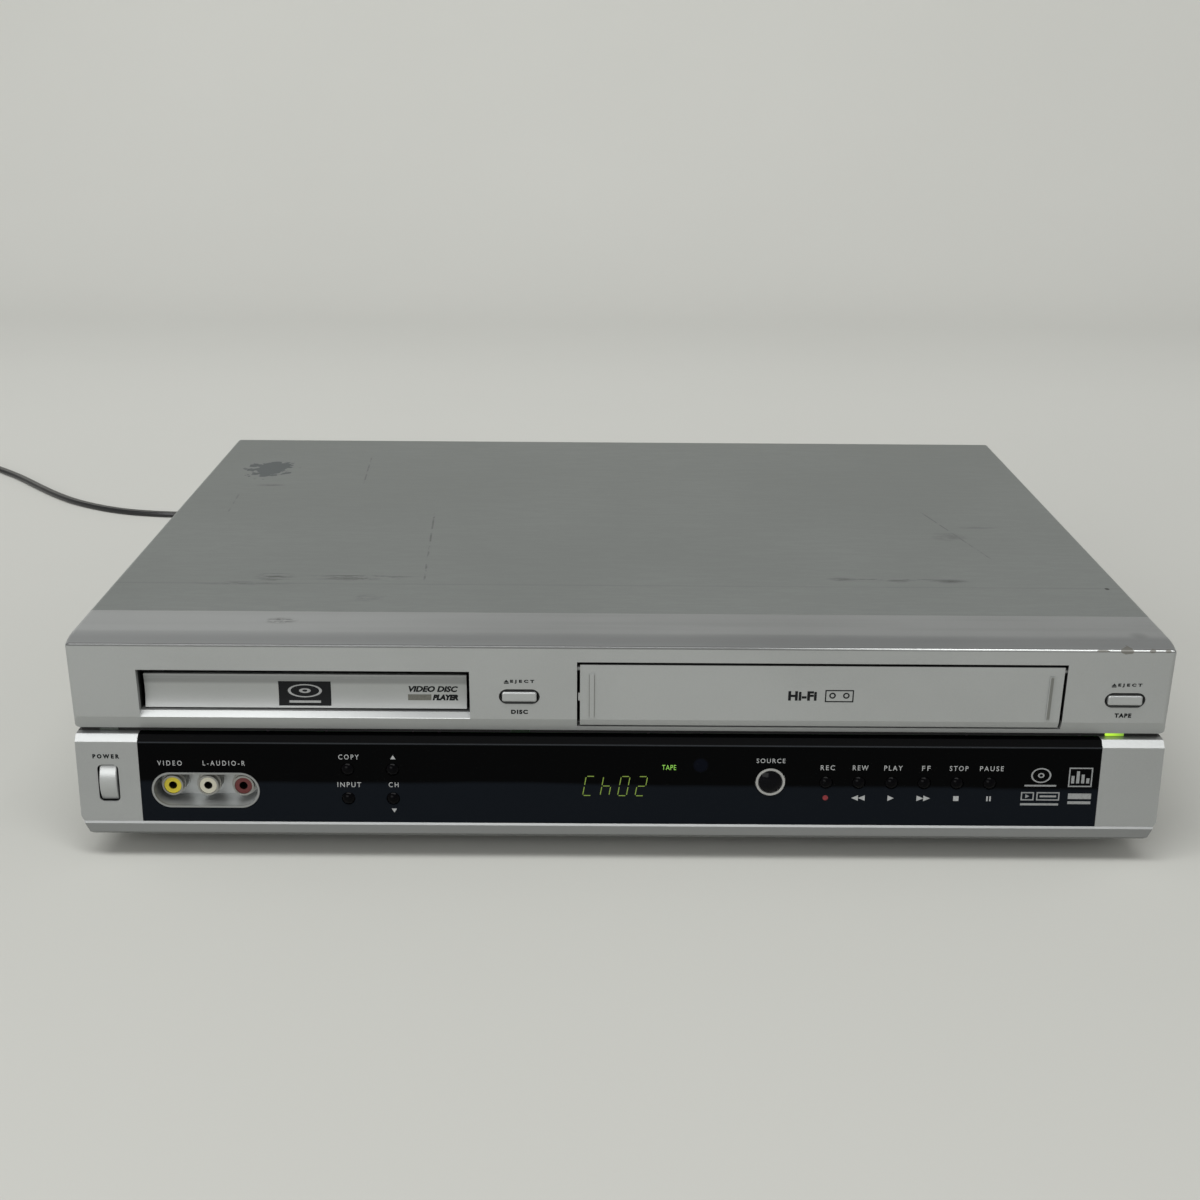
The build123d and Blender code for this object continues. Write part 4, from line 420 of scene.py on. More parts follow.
def panel_paint(name, level=PANEL_LEVEL, with_gap_shade=False):
    """Satin silver paint on moulded plastic, streaked along the crown and chipped on its ridge, with
    painted light on the crown's left part, painted shade on its brow, kick strip, groove, ridge and the
    ledge under the tray, a painted highlight along the ridge's right part, and where asked, painted
    shade on the walls round the moving fronts.
    """
    finish = Finish(name, Metallic=0.5)
    flake = finish.noise(2400.0, 1.0)
    cloud = finish.noise(14.0, 4.0)
    streak = finish.noise(110.0, 4.0, stretch=(0.05, 1, 1))
    scribble = finish.noise(520.0, 4.0, stretch=(0.6, 1, 1))
    across, height, depth = finish.axis("X"), finish.axis("Z"), finish.depth()
    dull, bright = silver(level * 0.95), silver(level * 1.04)
    finish.base = finish.mix(finish.ramp(cloud, *CLOUDY), dull, bright)
    finish.coat(0.20 * flake, silver(level * 1.5))
    crown = finish.rise(height, *CROWN_HEIGHT)
    finish.coat(0.26 * crown * finish.ramp(streak, 0.40, 0.66), silver(level * 0.6))
    # Painted light: the crown lighter towards the left
    finish.coat(0.5 * crown * finish.rise(across, *CROWN_LIGHT_ACROSS), silver(level * 1.5))
    # Painted shade: the crown darker towards its front edge
    finish.coat(0.5 * crown * finish.rise(depth, *BROW_SHADE_DEPTH), silver(level * 0.55))
    # Painted shade: the kick strip at the foot of the front darker
    finish.coat(0.85 * finish.rise(height, *KICK_SHADE_HEIGHT), silver(level * 0.5))
    finish.coat(0.3 * finish.rise(height, *LOWER_HEIGHT), silver(level * 0.6))
    scuff = finish.spot(at(*CROWN_SCRIBBLE), SCRIBBLE_REACH, soft=0.7)
    scuff = scuff * finish.ramp(scribble, 0.44, 0.52)
    scuff = scuff | 0.4 * finish.spot(at(*CROWN_SMEAR), SMEAR_REACH, soft=0.8)
    finish.coat(0.7 * scuff, silver(0.10))
    # Painted shade: near black deep in the groove under the upper face
    groove = finish.rise(depth, *GROOVE_SHADE_DEPTH) * finish.within(height, *GROOVE_SHADE_HEIGHT, GROOVE_SHADE_SOFT)
    finish.coat(0.97 * groove, grey(0.02))
    # Painted shade: a dark line on the front of the ridge
    ridge = finish.rise(height, *RIDGE_SHADE_HEIGHT) * finish.rise(depth, *RIDGE_SHADE_DEPTH)
    finish.coat(ridge, silver(level * 0.42))
    # Painted highlight: a bright line along the ridge's right part
    ridge_highlight = finish.rise(across, *RIDGE_HIGHLIGHT_ACROSS)
    ridge_highlight = ridge_highlight * finish.rise(height, *RIDGE_HIGHLIGHT_HEIGHT) * finish.rise(depth, *RIDGE_HIGHLIGHT_DEPTH)
    finish.coat(ridge_highlight, silver(0.8))
    # Painted shade: the ledge under the tray darker towards its right end
    sill_shade = finish.within(height, *SILL_SHADE_HEIGHT, SILL_SHADE_SOFT) * finish.rise(depth, *SILL_SHADE_DEPTH)
    sill_shade = sill_shade * finish.rise(across, *SILL_SHADE_LEFT) * finish.rise(across, *SILL_SHADE_RIGHT)
    finish.coat(0.75 * sill_shade, silver(level * 0.3))
    chips = 0.0
    for x, long, high in RIDGE_CHIPS:
        place = at(x, CHIP_DEPTH, CHIP_HEIGHT)
        chips = finish.blot(place, (long, CHIP_DEEP, high), ragged=0.8, scale=500.0) | chips
    finish.coat(0.85 * chips, tone(0.17, 0.165, 0.145))
    # Painted shade on the walls round the moving fronts
    if with_gap_shade:
        finish.coat(0.95 * shade_in_gaps_round_fronts(finish), GAP_SHADE_TONE)
    finish.set(
        Base_Color=finish.base,
        Roughness=0.33 + 0.10 * cloud + 0.20 * chips + 0.25 * groove,
    )
    finish.bump(flake - 2.0 * chips, PAINT_GRAIN, 0.3)
    return finish


# Depths behind the ridge from which the keys' stems get painted shade
KEY_STEM_SHADE_DEPTH = 3.6, 4.2


def key_paint():
    """The same silver on the keys' caps, with painted shade on their stems behind them."""
    finish = Finish("key_silver", Metallic=0.5)
    flake = finish.noise(2400.0, 1.0)
    cloud = finish.noise(40.0, 3.0)
    finish.base = finish.mix(0.5 * cloud + 0.2 * flake, silver(0.37), silver(0.50))
    finish.coat(0.95 * finish.rise(finish.depth(), *KEY_STEM_SHADE_DEPTH), GAP_SHADE_TONE)
    finish.set(Base_Color=finish.base, Roughness=0.28 + 0.10 * cloud)
    finish.bump(flake, PAINT_GRAIN, 0.3)
    return finish


# The tray front: the painted shade under its lip and on the lip, and how far back the painted shade on
# its edges begins
UNDER_LIP_SHADE, UNDER_LIP_SHADE_SOFT = (74.6, 76.2), 1.6
LIP_SHADE_HEIGHT = 76.2, 76.5
TRAY_EDGE_SHADE_DEPTH = 7.7, 8.2


def tray_paint():
    """The tray front: the same silver, with painted shade under its lip, on the lip and on its edges
    behind the face.
    """
    finish = Finish("tray_silver", Metallic=0.5)
    flake = finish.noise(2400.0, 1.0)
    cloud = finish.noise(14.0, 4.0)
    height = finish.axis("Z")
    finish.base = finish.mix(0.5 * cloud + 0.25 * flake, silver(0.36), silver(0.50))
    # Painted shade under the lip, on the lip and on the edges behind the face
    finish.coat(0.55 * finish.within(height, *UNDER_LIP_SHADE, UNDER_LIP_SHADE_SOFT), silver(0.17))
    finish.coat(0.35 * finish.rise(height, *LIP_SHADE_HEIGHT), silver(0.2))
    finish.coat(0.9 * finish.rise(finish.depth(), *TRAY_EDGE_SHADE_DEPTH), silver(0.02))
    finish.set(Base_Color=finish.base, Roughness=0.33 + 0.10 * cloud)
    finish.bump(flake, PAINT_GRAIN, 0.3)
    return finish


# The door's two upright grips, from its middle and the floor, with painted shade along them, and where
# the painted shade on its edges and top begins
GRIP_REACH = 89.55
GRIP_HALF = 0.95
GRIP_LOW, GRIP_HIGH, GRIP_SOFT = 62.7, 79.7, 1.5
GRIP_INNER_SOFT, GRIP_OUTER_SOFT = 0.2, 0.25
RIGHT_GRIP_SHADE = 0.8, 0.45
DOOR_EDGE_SHADE_DEPTH = 0.7, 1.2
DOOR_TOP_SHADE = 84.45, 84.6


def door_paint():
    """The door: the same silver, with painted shade on its edges and in thin bands along its two grips.
    """
    finish = panel_paint("door_silver", DOOR_LEVEL)
    height = finish.axis("Z")
    low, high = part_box("cassette_door")
    across = finish.axis("X") - (low.x + high.x) / 2
    beside = abs(abs(across) - GRIP_REACH * MM)
    right = finish.rise(across, -1, 1)
    # Painted shade in thin bands along the two grips
    left_grip_shade = finish.rise(beside, GRIP_HALF - GRIP_INNER_SOFT, GRIP_HALF)
    left_grip_shade = left_grip_shade * finish.rise(beside, GRIP_HALF + GRIP_OUTER_SOFT, GRIP_HALF)
    grip_shade = (1 - right) * left_grip_shade | right * finish.rise(beside, *RIGHT_GRIP_SHADE)
    grip_shade = grip_shade * finish.within(height, GRIP_LOW, GRIP_HIGH, GRIP_SOFT)
    finish.coat(0.7 * grip_shade, tone(0.10, 0.10, 0.085))
    # Painted shade on the door's edges behind its face and along its top
    edge = finish.rise(sunk(finish), *DOOR_EDGE_SHADE_DEPTH)
    edge = edge * finish.rise(height, CREASE, CREASE + GAP_SOFT)
    finish.coat(0.95 * (edge | finish.rise(height, *DOOR_TOP_SHADE)), GAP_SHADE_TONE)
    finish.set(Base_Color=finish.base)
    return finish


# The window: where a painted reflection makes it paler, the bend and the ledge at its top, and the eye
# behind it
WINDOW_REFLECTION_HEIGHT, WINDOW_REFLECTION_WAVE = (36.6, 34.6), 5
WINDOW_BEND, WINDOW_BEND_SOFT = (50.0, 50.2), 0.3
WINDOW_LEDGE = 50.1, 50.3
REMOTE_EYE, EYE_REACH = (31.9, 2.6, 41.8), (3.4, 20, 3.4)


def window_gloss():
    """High-gloss tinted window, with a painted reflection that makes its lower part a little paler."""
    finish = Finish("window_black", Specular_IOR_Level=0.045)
    height = finish.axis("Z")
    haze = finish.noise(7.0, 3.0)
    dust = finish.noise(900.0, 2.0)
    # Painted reflection: the window paler below a wavy line
    pale = finish.rise(height + WINDOW_REFLECTION_WAVE * MM * haze, *WINDOW_REFLECTION_HEIGHT)
    finish.base = finish.mix(pale, tone(0.0003, 0.0004, 0.0006), tone(0.0046, 0.0063, 0.0091))
    finish.coat(0.7 * finish.spot(at(*REMOTE_EYE), EYE_REACH, soft=0.35), tone(0.0025, 0.0035, 0.008))
    bend = finish.within(height, *WINDOW_BEND, WINDOW_BEND_SOFT)
    finish.coat(0.7 * bend, tone(0.030, 0.034, 0.038))
    gloss = 0.06 + 0.05 * finish.ramp(dust, 0.62, 0.75) + 0.03 * haze
    finish.set(Base_Color=finish.base, Roughness=gloss + 0.5 * finish.rise(height, *WINDOW_LEDGE))
    return finish


SOURCE_RING = 4.55, 4.7


def source_cap():
    """A black cap in a bright ring."""
    finish = Finish("source_cap", Specular_IOR_Level=0.08)
    middle_x, middle_z = middle_of("source_button")
    radius = finish.distance(at(middle_x, 0, middle_z), (1, 0, 1))
    ring = finish.rise(radius, *SOURCE_RING)
    wear = finish.noise(500.0, 3.0)
    bright = finish.mix(wear, grey(0.40), grey(0.60))
    finish.set(
        Base_Color=finish.mix(ring, tone(0.002, 0.002, 0.003), bright),
        Metallic=ring,
        Roughness=0.07 + 0.18 * ring + 0.04 * wear,
    )
    return finish


RECESS_RIM_DEPTH = 4.2, 2.8
RECESS_FLECKS, FLECKS_REACH = (-141, 2.6, 25), (4, 4, 4)


def recess_metal():
    """Satin metal of the jacks' recess, with chips of bare plastic at its rim."""
    finish = Finish("recess_metal", Metallic=0.7)
    cloud = finish.noise(60.0, 3.0)
    flecks = finish.noise(700.0, 3.0)
    finish.base = finish.mix(cloud, silver(0.40), silver(0.50))
    finish.coat(finish.rise(finish.depth(), *RECESS_RIM_DEPTH), silver(0.30))
    chipped = finish.spot(at(*RECESS_FLECKS), FLECKS_REACH, soft=0.5)
    finish.coat(chipped * finish.ramp(flecks, 0.52, 0.56), silver(0.7))
    finish.set(Base_Color=finish.base, Roughness=0.30 + 0.15 * cloud)
    finish.bump(flecks, 0.01, 0.3)
    return finish


# Depths behind the ridge from which a jack's bore gets painted shade
JACK_BORE_SHADE_DEPTH = 7.45, 8.0


def jack_insert(name, color):
    """A jack's coloured ring, with painted shade inside its bore."""
    finish = moulded(name, color, 0.35)
    finish.coat(0.97 * finish.rise(finish.depth(), *JACK_BORE_SHADE_DEPTH), grey(0.006))
    finish.set(Base_Color=finish.base)
    return finish


# Where the lenses on the right begin, and from where to where their glow grows
LIT_ACROSS = 100, 101
GLOW_ACROSS = 203.5, 193.5


def lamp_lens():
    """Tinted lenses, of which the one on the right glows."""
    finish = Finish("lens_clear", Emission_Strength=1.0, Coat_Weight=0.5)
    across = finish.axis("X")
    cloud = finish.noise(300.0, 2.0)
    lit = finish.rise(across, *LIT_ACROSS)
    heart = finish.rise(across, *GLOW_ACROSS)
    glow = finish.mix(heart, tone(0.10, 0.26, 0.03), tone(0.55, 0.95, 0.05))
    finish.set(
        Base_Color=finish.mix(cloud, tone(0.012, 0.020, 0.014), tone(0.03, 0.05, 0.03)),
        Emission_Color=finish.mix(lit, tone(0, 0, 0), glow),
        Roughness=0.2 + 0.1 * cloud,
    )
    return finish


def board_mask():
    """Solder mask with its tracks, and dots of solder."""
    finish = Finish("board_green", Coat_Weight=0.3)
    tracks = finish.node("ShaderNodeTexBrick", {"offset": 0.37, "squash": 0.6}, {
        "Vector": finish.place,
        "Scale": 160.0,
        "Mortar Size": 0.03,
        "Color1": tone(0.02, 0.11, 0.04),
        "Color2": tone(0.03, 0.15, 0.06),
        "Mortar": tone(0.08, 0.26, 0.11),
    })
    dots = finish.node("ShaderNodeTexVoronoi", (), {"Vector": finish.place, "Scale": 260.0})
    solder = finish.ramp(dots, 0.22, 0.14)
    finish.set(
        Base_Color=finish.mix(solder, tracks, tone(0.55, 0.56, 0.55)),
        Metallic=0.9 * solder,
        Roughness=0.45 - 0.15 * solder,
    )
    finish.bump(solder, 0.15, 0.6)
    return finish


def printed(name, color, glow=0.0):
    """Screen-printed ink, a little uneven."""
    finish = Finish(name, Emission_Strength=glow, Specular_IOR_Level=0.12)
    uneven = finish.noise(1500.0, 2.0)
    ink = finish.mix(finish.ramp(uneven, 0.25, 0.6), shaded(color, 0.8), color)
    finish.set(Base_Color=ink, Roughness=0.5 + 0.1 * uneven)
    if glow:
        finish.set(Emission_Color=ink)
    return finish


def all_finishes():
    """Every finish of the CAD pieces, by its name."""
    made = (
        cover_paint(),
        panel_paint("panel_silver"),
        panel_paint("panel_with_gap_shade", with_gap_shade=True),
        key_paint(),
        tray_paint(),
        door_paint(),
        window_gloss(),
        moulded("button_black", tone(0.001, 0.001, 0.0014), 0.08, Specular_IOR_Level=0.05),
        source_cap(),
        recess_metal(),
        bare_metal("plated", tone(0.36, 0.36, 0.34), 0.34),
        jack_insert("jack_yellow", tone(0.66, 0.55, 0.03)),
        jack_insert("jack_white", tone(0.60, 0.58, 0.47)),
        jack_insert("jack_red", tone(0.13, 0.020, 0.020)),
        lamp_lens(),
        moulded("display_glass", tone(0.03, 0.04, 0.04), 0.08, Coat_Weight=0.5),
        board_mask(),
        bare_metal("zinc_steel", tone(0.56, 0.57, 0.58), 0.36, stretch=(0.08, 1, 1), scale=420.0),
        moulded("rear_sheet", tone(0.24, 0.25, 0.25), 0.42, Metallic=0.4),
        moulded("black_plastic", tone(0.018, 0.018, 0.019), 0.5),
        moulded("loader_plastic", tone(0.05, 0.05, 0.055), 0.5),
        moulded("white_plastic", tone(0.70, 0.69, 0.64), 0.42),
        bare_metal("drum_metal", tone(0.66, 0.67, 0.68), 0.22, stretch=(1, 1, 0.05), scale=500.0),
        moulded("foot_rubber", tone(0.016, 0.016, 0.016), 0.75),
        moulded("roller_rubber", tone(0.022, 0.022, 0.022), 0.65),
        moulded("cord_skin", tone(0.006, 0.006, 0.007), 0.30, Coat_Weight=0.2),
        bare_metal("blade_metal", tone(0.72, 0.62, 0.36), 0.28),
        bare_metal("screw_steel", tone(0.42, 0.42, 0.42), 0.34),
    )
    return {finish.name: finish for finish in made}


finishes = all_finishes()
# Pieces whose finish is a variant of their slot's own
own_finishes = {
    "jack_plate": "recess_metal",
    "front_panel": "panel_with_gap_shade",
    "tray_front": "tray_silver",
    "power_button": "key_silver",
    "disc_eject_button": "key_silver",
    "tape_eject_button": "key_silver",
}
for subpart in frame["record"]["subparts"]:
    mesh = nodes[subpart["node"]].data
    mesh.materials.clear()
    finish = own_finishes.get(subpart["node"], subpart["material_slot"])
    mesh.materials.append(finishes[finish].material)


def photo_camera():
    """The camera at the photograph's place: slightly above, looking down on the front."""
    yaw, pitch, roll = radians(0.26), radians(18.02), radians(0.45)
    place = Vector((-11.38, -811.77, 317.71)) * MM
    focal_px, frame_px, sensor = 1746.6, 1200, 36
    ahead = Vector((sin(yaw) * cos(pitch), cos(yaw) * cos(pitch), -sin(pitch)))
    level = ahead.cross(Vector((0, 0, 1))).normalized()
    upright = level.cross(ahead)
    right = level * cos(roll) + upright * sin(roll)
    up = upright * cos(roll) - level * sin(roll)
    data = bpy.data.cameras.new("camera")
    data.sensor_width, data.lens = sensor, sensor * focal_px / frame_px
    camera = bpy.data.objects.new("camera", data)
    camera.matrix_world = Matrix((right, up, -ahead)).transposed().to_4x4()
    camera.matrix_world.translation = place
    bpy.context.scene.collection.objects.link(camera)
    bpy.context.scene.camera = camera


photo_camera()


def select_only(*pieces):
    """Selects these pieces and no others, with the first one active."""
    bpy.ops.object.select_all(action="DESELECT")
    for piece in pieces:
        piece.select_set(True)
    bpy.context.view_layer.objects.active = pieces[0]


def turn_faces_outwards():
    """Turns all faces of the piece in edit mode outwards, and leaves that mode."""
    bpy.ops.mesh.select_all(action="SELECT")
    bpy.ops.mesh.normals_make_consistent(inside=False)
    bpy.ops.object.mode_set(mode="OBJECT")


# Mains cord: the same route as the solid's, then a coil of flat turns in two layers
CORD_WIDTH = 5.4
CORD_THICKNESS = 3.4
CORD_SIDES = 18
CORE_FLARE = 2.2
GROOVE_WAIST = 0.6
CORD_FLOOR = 2.0
COIL_INNER = 24.0
COIL_STEP = 3.7
COIL_HALF_TURNS = 4
COIL_LAYER = 3.9
COIL_TAIL = 34.0
TAIL_SHARES = 0.35, 0.7, 1.0
POINTS_PER_HALF_TURN = 8
CORD_ROUTE = (
    (-150, 380.5, 36),
    (-150, 392.5, 36),
    (-151, 408, 32.5),
    (-156, 429, 22.5),
    (-166, 452, 10),
    (-182, 475, CORD_FLOOR),
    (-206, 496, CORD_FLOOR),
    (-235, 511, CORD_FLOOR),
    (-267, 518.5, CORD_FLOOR),
    (-302, 518.5, CORD_FLOOR),
    (-336, 526, CORD_FLOOR),
    (-369, 546, CORD_FLOOR),
    (-392, 568.5, CORD_FLOOR),
    (-414, 595, CORD_FLOOR),
    (-436, 622.5, CORD_FLOOR),
    (-461, 648, CORD_FLOOR),
    (-493, 679, CORD_FLOOR),
)
cord_route = [at(*place) for place in CORD_ROUTE]


def coil_points():
    """Turns inwards on the floor, a climb over half a turn, and turns outwards on top."""
    before, start = cord_route[-2:]
    ahead = (start - before).normalized()
    right = ahead.cross(Vector((0, 0, 1)))
    outer = COIL_INNER + COIL_HALF_TURNS * COIL_STEP
    middle = start - right * outer * MM
    wider = 1 / cos(pi / POINTS_PER_HALF_TURN / 2)
    points = []
    for step in range(1, (2 * COIL_HALF_TURNS + 1) * POINTS_PER_HALF_TURN + 1):
        half_turns = step / POINTS_PER_HALF_TURN
        inwards = min(half_turns, COIL_HALF_TURNS)
        outwards = max(half_turns - COIL_HALF_TURNS - 1, 0)
        radius = (outer - COIL_STEP * (inwards - outwards)) * wider * MM
        rise = COIL_LAYER * min(max(half_turns - COIL_HALF_TURNS, 0), 1) * MM
        way = right * cos(pi * half_turns) + ahead * sin(pi * half_turns)
        points.append(middle + way * radius + Vector((0, 0, rise)))
    end = middle - right * outer * MM + Vector((0, 0, COIL_LAYER * MM))
    tail = [end - ahead * COIL_TAIL * share * MM for share in TAIL_SHARES]
    return points + tail


def spline_points(points):
    """Points along the smooth line that has these as its control points."""
    data = bpy.data.curves.new("cord_line", "CURVE")
    data.dimensions = "3D"
    data.resolution_u = 8
    spline = data.splines.new("NURBS")
    spline.points.add(len(points) - 1)
    for control, point in zip(spline.points, points):
        control.co = (*point, 1)
    spline.order_u = 3
    spline.use_endpoint_u = True
    line = bpy.data.objects.new("cord_line", data)
    bpy.context.scene.collection.objects.link(line)
    mesh = bpy.data.meshes.new_from_object(line)
    found = [vertex.co.copy() for vertex in mesh.vertices]
    bpy.data.objects.remove(line)
    return found


def cord_section():
    """The flat cord's outline: two round cores with a groove between them."""
    outline = []
    core = CORD_THICKNESS / 2
    offset = CORD_WIDTH / 2 - core
    for step in range(CORD_SIDES):
        angle = 2 * pi * step / CORD_SIDES
        side = 1 if cos(angle) >= 0 else -1
        spread = min(1, abs(cos(angle)) * CORE_FLARE)
        waist = GROOVE_WAIST + (1 - GROOVE_WAIST) * spread
        outline.append((side * offset * spread + core * cos(angle), core * sin(angle) * waist))
    return outline


def flat_cord(points):
    """The cord's skin, drawn along its line and kept level."""
    section = cord_section()
    vertices, faces = [], []
    for place, point in enumerate(points):
        ahead = points[min(place + 1, len(points) - 1)] - points[max(place - 1, 0)]
        side = ahead.cross(Vector((0, 0, 1))).normalized()
        up = side.cross(ahead).normalized()
        vertices += [point + (side * u + up * v) * MM for u, v in section]
    count = len(section)
    for ring in range(len(points) - 1):
        first, second = ring * count, (ring + 1) * count
        for step in range(count):
            following = (step + 1) % count
            faces.append((first + step, first + following, second + following, second + step))
    faces.append(tuple(reversed(range(count))))
    faces.append(tuple(range((len(points) - 1) * count, len(points) * count)))
    mesh = bpy.data.meshes.new("mains_cord")
    mesh.from_pydata(vertices, [], faces)
    cord = bpy.data.objects.new("mains_cord", mesh)
    bpy.context.scene.collection.objects.link(cord)
    select_only(cord)
    bpy.ops.object.mode_set(mode="EDIT")
    turn_faces_outwards()
    bpy.ops.object.shade_smooth()
    return cord


def mains_cord():
    """The cord with its coil, in place of the plain solids."""
    points = spline_points(cord_route + coil_points())
    cord = flat_cord(points)
    cord.data.materials.append(finishes["cord_skin"].material)
    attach(cord, "cabinet")
    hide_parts("power_cord", "cord_coil")


mains_cord()

# Inks of the printed words and signs, and light behind the window
ink_dark = printed("ink_dark", tone(0.010, 0.011, 0.012))
ink_pale = printed("ink_pale", tone(0.38, 0.39, 0.39))
ink_white = printed("ink_white", tone(0.84, 0.85, 0.84))
ink_soft = printed("ink_soft", tone(0.27, 0.28, 0.28))
ink_grey = printed("ink_grey", tone(0.16, 0.16, 0.14))
ink_red = printed("ink_red", tone(0.22, 0.035, 0.040))
glow_digits = printed("glow_digits", tone(0.15, 0.22, 0.04), 0.5)
glow_word = printed("glow_word", tone(0.22, 0.50, 0.08), 0.5)

# In metres: how high and thick prints lie, how large words are drawn, and where rays to a face start
PRINT_LIFT = 0.03 * MM
PRINT_THICKNESS = 0.02 * MM
DRAWN_SIZE = 10 * MM
WELL_OUTSIDE = 1.0
surfaces = {}


def on_face(node, x, z, way=1):
    """The point of a node's front at this place, or of its back where the way is -1, in metres."""
    if node not in surfaces:
        surfaces[node] = BVHTree.FromObject(nodes[node], bpy.context.evaluated_depsgraph_get())
    start = Vector((x, -way * WELL_OUTSIDE, z))
    return surfaces[node].ray_cast(start, Vector((0, way, 0)))[0]


def settle(piece, node, x, z, width, height, layer=1, way=1):
    """Fits a flat piece drawn in the XY plane to a size, and presses it on a node's front or back."""
    low, high = Vector(piece.bound_box[0]), Vector(piece.bound_box[6])
    size = high - low
    fit = Matrix.Diagonal((width * MM / size.x, height * MM / size.y, 1, 1))
    upright = Matrix.Rotation(radians(90), 4, "X")
    if way < 0:
        upright = Matrix.Rotation(pi, 4, "Z") @ upright
    place = Matrix.Translation((x * MM, 0, z * MM))
    piece.matrix_world = place @ upright @ fit @ Matrix.Translation(-(low + high) / 2)
    select_only(piece)
    bpy.ops.object.transform_apply(location=True, rotation=True, scale=True)
    middle = on_face(node, x * MM, z * MM, way)
    for vertex in piece.data.vertices:
        point = on_face(node, vertex.co.x, vertex.co.z, way) or middle
        vertex.co.y += point.y - way * layer * PRINT_LIFT
    return piece


def word(text, node, x, z, width, height, spread, slant=0.0, bold=0.05, way=1):
    """A word about a place, with its letters spread, slanted or made bolder."""
    bpy.ops.object.select_all(action="DESELECT")
    bpy.ops.object.text_add()
    data = bpy.context.object.data
    data.body, data.space_character, data.shear, data.offset = text, spread, slant, bold * MM
    data.size = DRAWN_SIZE
    data.resolution_u = 3
    data.extrude = PRINT_THICKNESS / 2
    bpy.ops.object.convert(target="MESH")
    return settle(bpy.context.object, node, x, z, width, height, way=way)


def flat_shape(corners, turn, hole, cuts):
    """A thin regular shape, whole or as a ring whose hole is a share of it."""
    bpy.ops.object.select_all(action="DESELECT")
    fill = "NOTHING" if hole else "NGON"
    bpy.ops.mesh.primitive_circle_add(vertices=corners, radius=MM, fill_type=fill, rotation=(0, 0, turn))
    piece = bpy.context.object
    bpy.ops.object.transform_apply(location=False, rotation=True, scale=False)
    bpy.ops.object.mode_set(mode="EDIT")
    bpy.ops.mesh.select_all(action="SELECT")
    if hole:
        bpy.ops.mesh.extrude_edges_move()
        bpy.ops.transform.resize(value=(hole, hole, 1))
        bpy.ops.mesh.select_all(action="SELECT")
    if cuts:
        bpy.ops.mesh.subdivide(number_cuts=cuts)
    bpy.ops.mesh.extrude_region_move(TRANSFORM_OT_translate={"value": (0, 0, PRINT_THICKNESS)})
    turn_faces_outwards()
    return piece


UP, LEFT, DOWN, RIGHT = 0, 90, 180, -90
ON_ITS_SIDE = 45


def sign(corners, turn, node, x, z, width, height, hole=0.0, cuts=0, layer=1):
    """A regular shape about a place, turned by degrees before it is fitted."""
    piece = flat_shape(corners, radians(turn), hole, cuts)
    return settle(piece, node, x, z, width, height, layer)


def arrow(turn, node, x, z, width, height):
    return sign(3, turn, node, x, z, width, height)


def bar(node, x, z, width, height, cuts=0, layer=1):
    return sign(4, ON_ITS_SIDE, node, x, z, width, height, cuts=cuts, layer=layer)


def ring(corners, node, x, z, width, height, hole, layer=1):
    return sign(corners, UP, node, x, z, width, height, hole=hole, layer=layer)


def border(node, x, z, width, height, line=0.5):
    """A thin frame of four bars."""
    upright = height - 2 * line
    return [
        bar(node, x, z + (height - line) / 2, width, line),
        bar(node, x, z - (height - line) / 2, width, line),
        bar(node, x - (width - line) / 2, z, line, upright),
        bar(node, x + (width - line) / 2, z, line, upright),
    ]


def together(name, ink, pieces, body="cabinet", slot="window_black"):
    """Joins prints of one ink into one piece that rides on its body."""
    select_only(*pieces)
    bpy.ops.object.join()
    piece = bpy.context.object
    piece.name = piece.data.name = name
    piece.data.materials.clear()
    piece.data.materials.append(ink.material)
    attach(piece, body)
    return piece


# Heights of letters, and how much bolder some are printed
LETTER = 2.1
SMALL_LETTER = 1.9
EJECT_LETTER = 1.7
PANEL_BOLD = 0.6
REAR_BOLD = 0.4


def panel_words():
    """Names of the power key and the two eject keys, with an eject sign."""
    face = "front_panel"
    x, z = middle_of("power_button")
    prints = [word("POWER", face, x - 0.3, z + 11.5, 10.6, SMALL_LETTER, spread=1.6, bold=PANEL_BOLD)]
    for button, below in (("disc_eject_button", "DISC"), ("tape_eject_button", "TAPE")):
        x, z = middle_of(button)
        prints += [
            word("EJECT", face, x + 1.2, z + 6.5, 9.4, EJECT_LETTER, spread=1.7, bold=PANEL_BOLD),
            arrow(UP, face, x - 5.0, z + 6.8, 1.9, 1.1),
            bar(face, x - 5.0, z + 5.85, 1.9, 0.45),
            word(below, face, x, z - 6.6, 6.6, SMALL_LETTER, spread=1.25, bold=PANEL_BOLD),
        ]
    together("panel_words", ink_dark, prints, slot="panel_silver")


# Keys in the row under the display: their words, and how wide these are
KEY_ROW = (
    ("record_button", "REC", 5.6),
    ("rewind_button", "REW", 6.2),
    ("play_button", "PLAY", 7.3),
    ("forward_button", "FF", 3.3),
    ("stop_button", "STOP", 7.4),
    ("pause_button", "PAUSE", 9.4),
)
# How far the row's signs lie under the keys' middles
SIGNS_BELOW = 6.6


